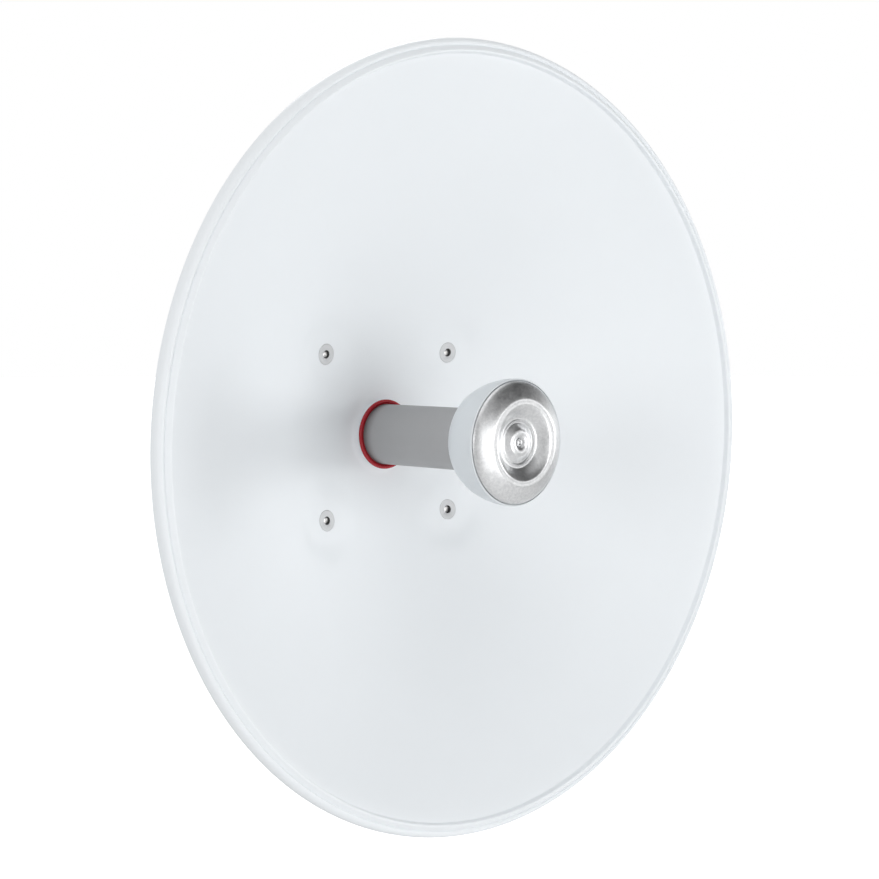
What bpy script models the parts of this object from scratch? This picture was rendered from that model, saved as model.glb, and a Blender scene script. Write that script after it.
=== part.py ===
"""Pole-mounted microwave dish antenna, modelled at its real size in metres.

Frame: +Z is up and the dish looks along -Y. The origin lies on the flat back face of the pole bracket, where
the pole presses. Depths along the boresight are written as a height above the dish's vertex, so that the
vertex is 0 and the mouth of the dish is about 0.14.
"""
import math

import bmesh
import bpy
import numpy as np

# Driving dimensions
RIM_RADIUS = 0.325
FOCAL_LENGTH = 0.1805
SHEET = 0.002
VERTEX_TO_POLE_FACE = 0.140
SCREW_HALF_SPACING = 0.070
TUBE_RADIUS = 0.026
SUBREFLECTOR_RADIUS = 0.0516
SUBREFLECTOR_HEIGHT = 0.168
LIP_WIDTH = 0.0014
POLE_RADIUS = 0.025
FIT = 0.0003

# Rim, counted from its outermost back edge
HEM_WIDTH = 0.0048
HEM_HEIGHT = 0.0088
CREST_INSET = 0.0116
CREST_HEIGHT = 0.0123
FOOT_INSET = 0.013
RIM_HEIGHT = 0.1276

# Neck drawn forward round the feed, and the gasket on its edge
NECK_RADIUS = 0.0272
NECK_WALL = 0.0015
NECK_HEIGHT = 0.0072
NECK_FOOT_RADIUS = 0.038
GASKET_OUTER_RADIUS = 0.0302
GASKET_TOP = 0.0118

# Threaded inserts and their flat seats in the dish
SEAT_RADIUS = 0.0115
SEAT_RECESS_RADIUS = 0.0100
SEAT_FRONT = 0.0123
SEAT_BACK = 0.0090
INSERT_FLANGE_RADIUS = 0.0092
INSERT_FLANGE = 0.0012
INSERT_BARREL_RADIUS = 0.0054
INSERT_BORE_RADIUS = 0.00355

# M8 hardware
BOLT_RADIUS = 0.004
BOLT_HOLE_RADIUS = 0.0045
BOLT_ROOT_RADIUS = 0.00325
HEX_ACROSS_FLATS = 0.013
HEAD_HEIGHT = 0.0053
NUT_HEIGHT = 0.0065
NUT_FLANGE_RADIUS = 0.0085
WASHER_RADIUS = 0.0085
WASHER_THICKNESS = 0.0016

# Hub casting behind the dish
HUB_HALF_WIDTH = 0.085
HUB_CORNER = 0.014
HUB_FRONT = -0.0025
HUB_BACK = -0.0075
HUB_BOSS_RADIUS = 0.0090
HUB_BOSS_FOOT_RADIUS = 0.0125

# Elevation bracket: two folded side plates and a channel that carries the pole clamp
PLATE = 0.0035
SIDE_PLATE_X = 0.052
SIDE_FOOT_WIDTH = 0.034
SIDE_HALF_HEIGHT = 0.080
PIVOT_Y = -0.050
PIVOT_Z = -0.042
LOCK_RADIUS = 0.080
TILT_RANGE = math.radians(20)
WEB_THICKNESS = 0.004
WEB_HALF_HEIGHT = 0.078
CLAMP_HEIGHT = 0.058
CLAMP_BOLT_X = 0.038

# Clamp jaws, shaped for the pole that they hold
JAW_HALF_WIDTH = 0.058
JAW_HALF_HEIGHT = 0.017
JAW_BACK = 0.0655
JAW_TIP_X = 0.033
JAW_SLOPE = math.radians(30)
JAW_TOOTH = 0.0018
JAW_TEETH = 6

# Feed housing behind the hub, with its two coaxial ports
HOUSING_RADIUS = 0.033
HOUSING_FLANGE_RADIUS = 0.046
HOUSING_FLANGE = 0.005
HOUSING_LENGTH = 0.060
SOCKET_DEPTH = 0.016
PORT_PAD_DROP = 0.036
PORT_DEPTHS = (-0.028, -0.052)

model = None
cutters = None


def height_at(radius):
    """Height of the paraboloid's inner surface above the vertex."""
    return radius * radius / (4 * FOCAL_LENGTH)


def back_height_at(radius):
    """Height of the sheet's back surface, one sheet thickness behind the paraboloid."""
    slope = radius / (2 * FOCAL_LENGTH)
    return height_at(radius) - SHEET * math.sqrt(1 + slope * slope)


def collection(name):
    made = bpy.data.collections.new(name)
    bpy.context.scene.collection.children.link(made)
    return made


def finish(name, colour, roughness, metallic):
    made = bpy.data.materials.new(name)
    made.use_nodes = True
    shader = made.node_tree.nodes["Principled BSDF"]
    shader.inputs["Base Color"].default_value = (*colour, 1)
    shader.inputs["Roughness"].default_value = roughness
    shader.inputs["Metallic"].default_value = metallic
    return made


def add_object(name, mesh, into, surface=None, smooth=True):
    made = bpy.data.objects.new(name, mesh)
    into.objects.link(made)
    if surface:
        mesh.materials.append(surface)
    if smooth:
        mesh.shade_smooth()
        mesh.set_sharp_from_angle(angle=math.radians(30))
    return made


def add_cutter(obj):
    obj.hide_render = True
    obj.display_type = "WIRE"
    for owner in obj.users_collection:
        owner.objects.unlink(obj)
    cutters.objects.link(obj)
    return obj


def combine(target, other, operation):
    """Joins or cuts target with other, which is kept as a hidden guide."""
    add_cutter(other)
    step = target.modifiers.new(other.name, "BOOLEAN")
    step.operation = operation
    step.object = other
    step.solver = "EXACT"


def cut(target, other):
    combine(target, other, "DIFFERENCE")


def join(target, other):
    combine(target, other, "UNION")


def face_front(obj, x=0.0, z=0.0):
    """Turns local Z towards the boresight, so that local heights count from the dish's vertex."""
    obj.rotation_euler = (math.pi / 2, 0, 0)
    obj.location = (x, -VERTEX_TO_POLE_FACE, z)
    return obj


def face_side(obj, side, y, z):
    """Turns local Z to +X for the right side (1) or to -X for the left side (-1)."""
    obj.rotation_euler = (math.pi / 2, 0, side * math.pi / 2)
    obj.location = (0, y, z)
    return obj


def face_back(obj, x, z):
    """Turns local Z to +Y, counted from the pole face."""
    obj.rotation_euler = (-math.pi / 2, 0, 0)
    obj.location = (x, 0, z)
    return obj


def turned(name, profile, sides, surface=None, closed=True):
    """Turns a profile of (radius, height) points, which runs down its outer side."""
    mesh = bpy.data.meshes.new(name)
    points = [(radius, 0, height) for radius, height in profile]
    edges = [(i, i + 1) for i in range(len(points) - 1)]
    if closed:
        edges.append((len(points) - 1, 0))
    mesh.from_pydata(points, edges, [])
    made = add_object(name, mesh, model, surface, smooth=False)
    screw = made.modifiers.new("turn", "SCREW")
    screw.axis = "Z"
    screw.steps = sides
    screw.render_steps = sides
    screw.use_merge_vertices = True
    screw.merge_threshold = 0.00005
    screw.use_smooth_shade = True
    return made


def cylinder(name, radius, low, high, sides=16, surface=None, top_radius=None):
    mesh = bpy.data.meshes.new(name)
    cage = bmesh.new()
    bmesh.ops.create_cone(
        cage,
        cap_ends=True,
        segments=sides,
        radius1=radius,
        radius2=radius if top_radius is None else top_radius,
        depth=high - low,
    )
    bmesh.ops.translate(cage, verts=cage.verts, vec=(0, 0, (low + high) / 2))
    cage.to_mesh(mesh)
    cage.free()
    return add_object(name, mesh, model, surface)


def hexagon(name, low, high, surface=None):
    return cylinder(name, HEX_ACROSS_FLATS / math.sqrt(3), low, high, 6, surface)


def box(name, low, high, surface=None):
    mesh = bpy.data.meshes.new(name)
    cage = bmesh.new()
    bmesh.ops.create_cube(cage, size=1)
    size = [b - a for a, b in zip(low, high)]
    centre = [(a + b) / 2 for a, b in zip(low, high)]
    bmesh.ops.scale(cage, verts=cage.verts, vec=size)
    bmesh.ops.translate(cage, verts=cage.verts, vec=centre)
    cage.to_mesh(mesh)
    cage.free()
    return add_object(name, mesh, model, surface, smooth=False)


def arc(centre, radius, start, end, count):
    """Points of an arc in a plane, from one angle in degrees to another."""
    angles = np.radians(np.linspace(start, end, count))
    return [(centre[0] + radius * math.cos(a), centre[1] + radius * math.sin(a)) for a in angles]


def plate(name, outline, low, high, surface=None):
    """A flat outline thickened from low to high along local Z, as a closed mesh."""
    curve = bpy.data.curves.new(name, "CURVE")
    curve.dimensions = "2D"
    curve.fill_mode = "BOTH"
    curve.extrude = (high - low) / 2
    spline = curve.splines.new("POLY")
    spline.points.add(len(outline) - 1)
    for point, (a, b) in zip(spline.points, outline):
        point.co = (a, b, 0, 1)
    spline.use_cyclic_u = True
    flat = bpy.data.objects.new(name + "_outline", curve)
    model.objects.link(flat)
    depsgraph = bpy.context.evaluated_depsgraph_get()
    mesh = bpy.data.meshes.new_from_object(flat.evaluated_get(depsgraph))
    bpy.data.objects.remove(flat)
    cage = bmesh.new()
    cage.from_mesh(mesh)
    bmesh.ops.remove_doubles(cage, verts=cage.verts, dist=0.000005)
    bmesh.ops.translate(cage, verts=cage.verts, vec=(0, 0, (low + high) / 2))
    cage.to_mesh(mesh)
    cage.free()
    return add_object(name, mesh, model, surface, smooth=False)


def rounded_square(half_width, corner, count=5):
    inner = half_width - corner
    outline = []
    for start, sx, sy in ((0, 1, 1), (90, -1, 1), (180, -1, -1), (270, 1, -1)):
        outline += arc((sx * inner, sy * inner), corner, start, start + 90, count)
    return outline


def screw_places():
    """The four places of the dish's screws, numbered clockwise from the upper left as seen from the front."""
    half = SCREW_HALF_SPACING
    return [(1, -half, half), (2, half, half), (3, half, -half), (4, -half, -half)]


def reflector_profile():
    neck_outer = NECK_RADIUS + NECK_WALL
    blend = NECK_FOOT_RADIUS - neck_outer
    foot = height_at(NECK_FOOT_RADIUS)
    front = [(NECK_RADIUS, NECK_HEIGHT), (neck_outer, NECK_HEIGHT)]
    for turn in (0.15, 0.45, 0.75):
        angle = turn * math.pi / 2
        front.append((
            neck_outer + blend * (1 - math.cos(angle)),
            foot + (NECK_HEIGHT - foot) * (1 - math.sin(angle)),
        ))
    dish = np.linspace(NECK_FOOT_RADIUS, RIM_RADIUS - 0.018, 9)
    front += [(r, height_at(r)) for r in dish]
    front.append((RIM_RADIUS - FOOT_INSET, RIM_HEIGHT + 0.008))
    front.append((RIM_RADIUS - CREST_INSET, RIM_HEIGHT + CREST_HEIGHT))
    for degrees in (0, 35, 65, 90):
        angle = math.radians(degrees)
        front.append((
            RIM_RADIUS - HEM_WIDTH * (1 - math.sin(angle)),
            RIM_HEIGHT + HEM_HEIGHT * math.cos(angle),
        ))
    back = []
    for degrees in (90, 50, 10):
        angle = math.radians(degrees)
        back.append((
            RIM_RADIUS - HEM_WIDTH + (HEM_WIDTH - SHEET) * math.sin(angle),
            RIM_HEIGHT + (HEM_HEIGHT - SHEET) * math.cos(angle),
        ))
    back.append((RIM_RADIUS - CREST_INSET + 0.0022, RIM_HEIGHT + CREST_HEIGHT - 0.0034))
    back.append((RIM_RADIUS - FOOT_INSET + 0.0020, RIM_HEIGHT + 0.0056))
    back += [(r, back_height_at(r)) for r in dish[::-1]]
    for turn in (0.75, 0.45, 0.15):
        angle = turn * math.pi / 2
        back.append((
            NECK_RADIUS + blend * (1 - math.cos(angle)),
            foot - SHEET + (NECK_HEIGHT - foot) * (1 - math.sin(angle)),
        ))
    return front + back


def reflector(paint):
    dish = face_front(turned("reflector", reflector_profile(), 48, paint))
    level_radius = math.sqrt(4 * FOCAL_LENGTH * SEAT_FRONT)
    space = [(0, 0.050), (0.120, 0.050)]
    space += [(r, height_at(r)) for r in np.linspace(0.120, level_radius, 6)]
    space.append((0, SEAT_FRONT))
    for number, x, z in screw_places():
        seat = face_front(cylinder(f"seat_{number}", SEAT_RADIUS, SEAT_BACK, 0.030, 20), x, z)
        front = face_front(turned(f"seat_trim_{number}", space, 48, closed=False))
        cut(seat, front)
        join(dish, seat)
    for number, x, z in screw_places():
        recess = cylinder(f"seat_recess_{number}", SEAT_RECESS_RADIUS, SEAT_FRONT, 0.040, 20)
        cut(dish, face_front(recess, x, z))
        hole = cylinder(f"insert_hole_{number}", INSERT_BARREL_RADIUS + FIT, -0.01, 0.03, 16)
        cut(dish, face_front(hole, x, z))


def feed_gasket(rubber):
    """Round bead that sits on the edge of the neck and hugs the feed tube."""
    inner = TUBE_RADIUS + FIT
    half_width = (GASKET_OUTER_RADIUS - inner) / 2
    bottom = NECK_HEIGHT + FIT
    half_height = (GASKET_TOP - bottom) / 2
    middle = (inner + half_width, bottom + half_height)
    profile = []
    for degrees in range(180, -181, -45):
        angle = math.radians(degrees)
        profile.append((middle[0] + half_width * math.cos(angle), middle[1] + half_height * math.sin(angle)))
    face_front(turned("feed_gasket", profile[:-1], 32, rubber))


def feed_tube(coat):
    inner = TUBE_RADIUS - 0.003
    low = HUB_BACK - FIT - SOCKET_DEPTH + FIT
    high = subreflector_rear() - FIT
    profile = [(inner, high), (TUBE_RADIUS, high), (TUBE_RADIUS, low), (inner, low)]
    face_front(turned("feed_tube", profile, 32, coat))


def subreflector_rear():
    """Height of the flat rear face of the subreflector's plastic body."""
    return SUBREFLECTOR_HEIGHT - 0.0440


def disc_front():
    """Pressed face from the centre hole out to its edge: dome, groove, sharp ridge, bowl, crest and cone."""
    edge = SUBREFLECTOR_HEIGHT
    return [
        (0.0020, edge + 0.0026),
        (0.0036, edge + 0.0028),
        (0.0052, edge + 0.0040),
        (0.0085, edge + 0.0037),
        (0.0120, edge + 0.0016),
        (0.0145, edge - 0.0004),
        (0.0182, edge + 0.0020),
        (0.0225, edge + 0.0034),
        (0.0300, edge + 0.0092),
        (0.0335, edge + 0.0098),
        (0.0375, edge + 0.0088),
        (0.0450, edge + 0.0051),
        (SUBREFLECTOR_RADIUS - LIP_WIDTH, edge + 0.0008),
    ]


def subreflector_disc(metal):
    front = disc_front()
    back = [(r, h - 0.0012) for r, h in front[::-1]]
    face_front(turned("subreflector_disc", front + back, 32, metal))


def subreflector_body(plastic):
    """Solid bowl: an elliptical side, a stem that plugs the tube and a bevelled lip round the disc."""
    bore = 0.0020
    front = [(0, SUBREFLECTOR_HEIGHT - 0.010), (bore, SUBREFLECTOR_HEIGHT - 0.010)]
    front += [(r, h - 0.0012 - FIT) for r, h in disc_front()]
    lip_inner = SUBREFLECTOR_RADIUS - LIP_WIDTH + FIT
    front[-1] = (lip_inner, front[-1][1])
    front.append((lip_inner, SUBREFLECTOR_HEIGHT + 0.0009))
    front.append((SUBREFLECTOR_RADIUS, SUBREFLECTOR_HEIGHT - 0.0001))
    shoulder = 0.0316
    rise = 0.0422
    side = []
    for degrees in (90, 72, 54, 36, 18, 0):
        angle = math.radians(degrees)
        side.append((
            shoulder + (SUBREFLECTOR_RADIUS - shoulder) * math.sin(angle),
            SUBREFLECTOR_HEIGHT - 0.0004 - rise * math.cos(angle),
        ))
    stem = TUBE_RADIUS - 0.003 - FIT
    rear = subreflector_rear()
    side += [(0.0295, rear), (stem, rear), (stem, rear - 0.024)]
    side += [(stem - 0.004, rear - 0.028), (0, rear - 0.028)]
    face_front(turned("subreflector_body", front + side, 32, plastic, closed=False))


def subreflector_rivet(metal):
    """Domed rivet in the disc's centre dimple, with its shank in the plastic body."""
    seat = SUBREFLECTOR_HEIGHT + 0.0028 + FIT
    shank = 0.0017
    head = 0.0031
    profile = [
        (0, seat + 0.0011),
        (head * 0.5, seat + 0.0010),
        (head * 0.85, seat + 0.0006),
        (head, seat),
        (shank, seat),
        (shank, SUBREFLECTOR_HEIGHT - 0.009),
        (0, SUBREFLECTOR_HEIGHT - 0.009),
    ]
    face_front(turned("subreflector_rivet", profile, 20, metal, closed=False))


def reflector_fasteners(steel, zinc):
    """Threaded inserts in the dish, bolts from behind and a washer under each head."""
    seat = SEAT_FRONT + FIT
    flange = seat + INSERT_FLANGE
    foot_back = HUB_BACK - FIT - PLATE
    washer_top = foot_back - FIT
    head_top = washer_top - WASHER_THICKNESS - FIT
    insert = [
        (INSERT_BORE_RADIUS, flange),
        (INSERT_FLANGE_RADIUS - 0.0005, flange),
        (INSERT_FLANGE_RADIUS, seat + 0.0005),
        (INSERT_FLANGE_RADIUS, seat),
        (INSERT_BARREL_RADIUS, seat),
        (INSERT_BARREL_RADIUS, SEAT_BACK + FIT),
        (INSERT_BORE_RADIUS, SEAT_BACK + FIT),
    ]
    tip = flange - 0.0017
    bolt = [
        (0, tip),
        (BOLT_ROOT_RADIUS * 0.6, tip - 0.0003),
        (BOLT_ROOT_RADIUS, tip - 0.0014),
        (BOLT_ROOT_RADIUS, SEAT_BACK - 0.004),
        (BOLT_RADIUS, SEAT_BACK - 0.005),
        (BOLT_RADIUS, head_top - HEAD_HEIGHT / 2),
        (0, head_top - HEAD_HEIGHT / 2),
    ]
    hole = BOLT_RADIUS + FIT
    washer = [
        (hole, washer_top),
        (WASHER_RADIUS, washer_top),
        (WASHER_RADIUS, washer_top - WASHER_THICKNESS),
        (hole, washer_top - WASHER_THICKNESS),
    ]
    for number, x, z in screw_places():
        face_front(turned(f"reflector_insert_{number}", insert, 16, zinc), x, z)
        face_front(turned(f"reflector_washer_{number}", washer, 16, steel), x, z)
        shank = face_front(turned(f"reflector_bolt_{number}", bolt, 12, steel, closed=False), x, z)
        head = face_front(hexagon(f"reflector_bolt_head_{number}", head_top - HEAD_HEIGHT, head_top), x, z)
        join(shank, head)


def hub(cast):
    """Square cast plate with a boss at each corner that reaches the dish's seats."""
    outline = rounded_square(HUB_HALF_WIDTH, HUB_CORNER)
    plate_body = face_front(plate("mounting_hub", outline, HUB_BACK, HUB_FRONT, cast))
    for number, x, z in screw_places():
        boss = cylinder(
            f"hub_boss_{number}", HUB_BOSS_FOOT_RADIUS, HUB_FRONT - 0.001, SEAT_BACK - FIT, 20,
            top_radius=HUB_BOSS_RADIUS,
        )
        join(plate_body, face_front(boss, x, z))
    for number, x, z in screw_places():
        hole = cylinder(f"hub_hole_{number}", BOLT_HOLE_RADIUS, -0.02, 0.02, 12)
        cut(plate_body, face_front(hole, x, z))
    cut(plate_body, face_front(cylinder("hub_bore", TUBE_RADIUS + FIT, -0.02, 0.02, 32)))


def side_plate_outline():
    """Side view of a bracket plate: wide at the hub, round at the pivot, with a band round the tilt slot."""
    hub_side = -VERTEX_TO_POLE_FACE - HUB_BACK + FIT
    pivot = (PIVOT_Y, PIVOT_Z)
    tilt = math.degrees(TILT_RANGE)
    band = LOCK_RADIUS + 0.012
    rear_end = arc(pivot, LOCK_RADIUS, 90 - tilt, 90 - tilt, 1)[0]
    front_end = arc(pivot, LOCK_RADIUS, 90 + tilt, 90 + tilt, 1)[0]
    outline = [(hub_side, -SIDE_HALF_HEIGHT), (hub_side + 0.030, -SIDE_HALF_HEIGHT)]
    outline += arc(pivot, 0.018, -100, -5, 7)
    outline += arc(rear_end, 0.012, -30, 90 - tilt, 5)
    outline += arc(pivot, band, 90 - tilt + 5, 90 + tilt - 5, 6)
    outline += arc(front_end, 0.012, 90 + tilt, 90 + tilt + 25, 3)
    outline += [(hub_side + 0.030, SIDE_HALF_HEIGHT), (hub_side, SIDE_HALF_HEIGHT)]
    return outline


def tilt_slot_outline():
    pivot = (PIVOT_Y, PIVOT_Z)
    tilt = math.degrees(TILT_RANGE)
    half = BOLT_HOLE_RADIUS
    rear_end = arc(pivot, LOCK_RADIUS, 90 - tilt, 90 - tilt, 1)[0]
    front_end = arc(pivot, LOCK_RADIUS, 90 + tilt, 90 + tilt, 1)[0]
    outline = arc(pivot, LOCK_RADIUS + half, 90 - tilt, 90 + tilt, 10)
    outline += arc(front_end, half, 90 + tilt + 30, 90 + tilt + 150, 5)
    outline += arc(pivot, LOCK_RADIUS - half, 90 + tilt, 90 - tilt, 10)
    outline += arc(rear_end, half, 270 - tilt + 30, 270 - tilt + 150, 5)
    return outline


def side_plate(name, side, zinc):
    """Folded plate: a foot bolted to the hub and a web that carries the pivot hole and the tilt slot."""
    inner = SIDE_PLATE_X
    web = plate(name, side_plate_outline(), inner, inner + PLATE, zinc)
    if side < 0:
        for corner in web.data.vertices:
            corner.co.z = -corner.co.z
        web.data.flip_normals()
    web.rotation_euler = (math.pi / 2, 0, math.pi / 2)
    foot_low = -VERTEX_TO_POLE_FACE - HUB_BACK + FIT
    near = side * (inner + PLATE / 2)
    far = side * (inner + SIDE_FOOT_WIDTH)
    foot = box(
        name + "_foot",
        (min(near, far), foot_low, -SIDE_HALF_HEIGHT),
        (max(near, far), foot_low + PLATE, SIDE_HALF_HEIGHT),
    )
    join(web, foot)
    for number, x, z in screw_places():
        if x * side > 0:
            hole = cylinder(f"{name}_hole_{number}", BOLT_HOLE_RADIUS, -0.03, 0.0, 12)
            cut(web, face_front(hole, x, z))
    slot = plate(name + "_slot", tilt_slot_outline(), -0.1, 0.1)
    slot.rotation_euler = (math.pi / 2, 0, math.pi / 2)
    cut(web, slot)
    hole = cylinder(name + "_pivot_hole", BOLT_HOLE_RADIUS, 0.03, 0.08, 12)
    cut(web, face_side(hole, side, PIVOT_Y, PIVOT_Z))


def pole_bracket(zinc):
    """Channel between the side plates. The back of its web is the flat face that bears on the pole."""
    outer = SIDE_PLATE_X - FIT
    channel = box(
        "pole_bracket",
        (-outer, -WEB_THICKNESS, -WEB_HALF_HEIGHT),
        (outer, 0, WEB_HALF_HEIGHT),
        zinc,
    )
    lock_z = PIVOT_Z + LOCK_RADIUS
    outline = [(-WEB_THICKNESS / 2, -WEB_HALF_HEIGHT)]
    outline += [(-WEB_THICKNESS / 2, WEB_HALF_HEIGHT - 0.004), (-0.020, WEB_HALF_HEIGHT - 0.004)]
    outline += arc((PIVOT_Y, lock_z), 0.016, 80, 180, 6)
    outline += arc((PIVOT_Y, PIVOT_Z), 0.016, 180, 280, 6)
    outline += [(-0.020, -WEB_HALF_HEIGHT)]
    for side, name in ((1, "right"), (-1, "left")):
        low, high = sorted((side * (outer - PLATE), side * outer))
        cheek = plate(f"pole_bracket_cheek_{name}", outline, low, high)
        cheek.rotation_euler = (math.pi / 2, 0, math.pi / 2)
        join(channel, cheek)
    for kind, z in (("pivot", PIVOT_Z), ("lock", lock_z)):
        hole = cylinder(f"pole_bracket_{kind}_hole", BOLT_HOLE_RADIUS, -0.08, 0.08, 12)
        cut(channel, face_side(hole, 1, PIVOT_Y, z))
    for number, x, z in clamp_places():
        hole = cylinder(f"clamp_hole_{number}", BOLT_HOLE_RADIUS, -0.02, 0.02, 12)
        cut(channel, face_back(hole, x, z))


def clamp_places():
    return [
        (1, -CLAMP_BOLT_X, CLAMP_HEIGHT),
        (2, CLAMP_BOLT_X, CLAMP_HEIGHT),
        (3, CLAMP_BOLT_X, -CLAMP_HEIGHT),
        (4, -CLAMP_BOLT_X, -CLAMP_HEIGHT),
    ]


def jaw_outline():
    """Toothed vee that meets the pole on two lines, closed by straight outer edges."""
    apex = POLE_RADIUS + POLE_RADIUS / math.cos(JAW_SLOPE)
    slope = math.tan(JAW_SLOPE)
    steps = np.linspace(1, 0, 2 * JAW_TEETH + 1)
    flank = []
    for index, share in enumerate(steps):
        x = JAW_TIP_X * share
        depth = JAW_TOOTH if index % 2 else 0.0
        flank.append((x, apex - slope * x + depth))
    outline = flank + [(-x, y) for x, y in flank[-2::-1]]
    outline += [(-0.046, 0.038), (-JAW_HALF_WIDTH, JAW_BACK - 0.006), (-JAW_HALF_WIDTH, JAW_BACK)]
    outline += [(JAW_HALF_WIDTH, JAW_BACK), (JAW_HALF_WIDTH, JAW_BACK - 0.006), (0.046, 0.038)]
    return outline


def pole_clamps(zinc, steel):
    """Two channel-shaped jaws, each drawn to the pole bracket by two long bolts with flanged nuts."""
    for name, z in (("upper", CLAMP_HEIGHT), ("lower", -CLAMP_HEIGHT)):
        jaw = box(
            f"clamp_jaw_{name}",
            (-JAW_HALF_WIDTH, JAW_BACK - PLATE, z - JAW_HALF_HEIGHT),
            (JAW_HALF_WIDTH, JAW_BACK, z + JAW_HALF_HEIGHT),
            zinc,
        )
        for level, low in (("top", z + JAW_HALF_HEIGHT - PLATE), ("bottom", z - JAW_HALF_HEIGHT)):
            join(jaw, plate(f"clamp_jaw_{name}_{level}", jaw_outline(), low, low + PLATE))
        for number, x, place_z in clamp_places():
            if place_z == z:
                hole = cylinder(f"clamp_jaw_hole_{number}", BOLT_HOLE_RADIUS, 0.05, 0.08, 12)
                cut(jaw, face_back(hole, x, z))
    head_top = -WEB_THICKNESS - FIT
    nut_low = JAW_BACK + FIT
    end = nut_low + NUT_HEIGHT + 0.010
    for number, x, z in clamp_places():
        shank = cylinder(f"clamp_bolt_{number}", BOLT_RADIUS, head_top - 0.002, end, 12, steel)
        face_back(shank, x, z)
        head = hexagon(f"clamp_bolt_head_{number}", head_top - HEAD_HEIGHT, head_top)
        join(shank, face_back(head, x, z))
        face_back(flanged_nut(f"clamp_nut_{number}", nut_low, steel), x, z)


def flanged_nut(name, low, steel):
    """Hexagon nut on a round flange that starts at low."""
    nut = hexagon(name, low + 0.0008, low + NUT_HEIGHT, steel)
    join(nut, cylinder(name + "_flange", NUT_FLANGE_RADIUS, low, low + 0.0014, 16))
    cut(nut, cylinder(name + "_bore", BOLT_RADIUS + FIT, low - 0.01, low + 0.02, 12))
    for step in nut.modifiers:
        step.object.parent = nut
    return nut


def tilt_fasteners(steel):
    """Pivot and lock bolts: heads outside the side plates, flanged nuts inside the channel."""
    outside = SIDE_PLATE_X + PLATE + FIT
    inside = SIDE_PLATE_X - FIT - PLATE - FIT
    for side, name in ((1, "right"), (-1, "left")):
        for kind, z in (("pivot", PIVOT_Z), ("lock", PIVOT_Z + LOCK_RADIUS)):
            low = inside - NUT_HEIGHT - 0.004
            shank = cylinder(f"{kind}_bolt_{name}", BOLT_RADIUS, low, outside + 0.002, 12, steel)
            face_side(shank, side, PIVOT_Y, z)
            head = cylinder(f"{kind}_head_flange_{name}", NUT_FLANGE_RADIUS, outside, outside + 0.0014, 16)
            join(shank, face_side(head, side, PIVOT_Y, z))
            head = hexagon(f"{kind}_head_{name}", outside + 0.0008, outside + HEAD_HEIGHT)
            join(shank, face_side(head, side, PIVOT_Y, z))
            nut = flanged_nut(f"{kind}_nut_{name}", -inside, steel)
            face_side(nut, -side, PIVOT_Y, z)


def feed_housing(cast):
    """Turned housing with a flange on the hub, a socket for the tube and a flat pad for the ports."""
    top = HUB_BACK - FIT
    flange_back = top - HOUSING_FLANGE
    end = top - HOUSING_LENGTH
    socket = TUBE_RADIUS + FIT
    floor = top - SOCKET_DEPTH - FIT
    profile = [
        (0, floor),
        (socket, floor),
        (socket, top),
        (HOUSING_FLANGE_RADIUS, top),
        (HOUSING_FLANGE_RADIUS, flange_back),
        (HOUSING_RADIUS, flange_back),
        (HOUSING_RADIUS, end + 0.004),
        (HOUSING_RADIUS - 0.004, end),
        (0, end),
    ]
    body = face_front(turned("feed_housing", profile, 32, cast, closed=False))
    near = -VERTEX_TO_POLE_FACE - max(PORT_DEPTHS) - 0.012
    far = -VERTEX_TO_POLE_FACE - min(PORT_DEPTHS) + 0.012
    pad = box("port_pad", (-0.0125, near, -PORT_PAD_DROP), (0.0125, far, -HOUSING_RADIUS + 0.005))
    join(body, pad)


def feed_ports(metal):
    """Coaxial ports that point down from the housing's pad: a square-shouldered base and an open barrel."""
    top = -PORT_PAD_DROP - FIT
    profile = [
        (0, top),
        (0.0105, top),
        (0.0105, top - 0.0035),
        (0.0079, top - 0.0040),
        (0.0079, top - 0.0150),
        (0.0062, top - 0.0150),
        (0.0062, top - 0.0070),
        (0.0016, top - 0.0070),
        (0.0016, top - 0.0130),
        (0, top - 0.0130),
    ]
    for number, depth in enumerate(PORT_DEPTHS, 1):
        port = turned(f"feed_port_{number}", profile, 16, metal, closed=False)
        port.location = (0, -VERTEX_TO_POLE_FACE - depth, 0)


def build():
    global model, cutters
    for old in list(bpy.data.objects):
        bpy.data.objects.remove(old)
    model = collection("dish_antenna")
    cutters = collection("cutters")

    paint = finish("white_powder_coat", (0.86, 0.87, 0.88), 0.45, 0.0)
    rubber = finish("red_rubber", (0.45, 0.02, 0.03), 0.5, 0.0)
    grey = finish("grey_plastic", (0.30, 0.30, 0.31), 0.55, 0.0)
    pale = finish("pale_plastic", (0.66, 0.69, 0.71), 0.35, 0.0)
    satin = finish("satin_metal", (0.80, 0.80, 0.79), 0.28, 1.0)
    zinc = finish("zinc_plate", (0.62, 0.64, 0.65), 0.42, 1.0)
    steel = finish("stainless_steel", (0.66, 0.66, 0.66), 0.30, 1.0)
    cast = finish("grey_casting", (0.55, 0.56, 0.57), 0.50, 0.2)

    reflector(paint)
    feed_gasket(rubber)
    feed_tube(grey)
    subreflector_body(pale)
    subreflector_disc(satin)
    subreflector_rivet(satin)
    reflector_fasteners(steel, zinc)
    hub(cast)
    feed_housing(cast)
    feed_ports(steel)
    side_plate("side_plate_right", 1, zinc)
    side_plate("side_plate_left", -1, zinc)
    pole_bracket(zinc)
    tilt_fasteners(steel)
    pole_clamps(zinc, steel)


build()
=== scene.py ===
"""Looks of a pole-mounted microwave dish antenna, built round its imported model.

Frame: metres, +Z up. The dish looks along -Y and the origin lies on the flat back face of the pole bracket.
Heights along the boresight count from the dish's vertex towards its mouth, so a height h lies at
y = -VERTEX_TO_POLE_FACE - h.
"""
import math

import bmesh
import bpy
import numpy as np
from mathutils import Matrix


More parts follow.
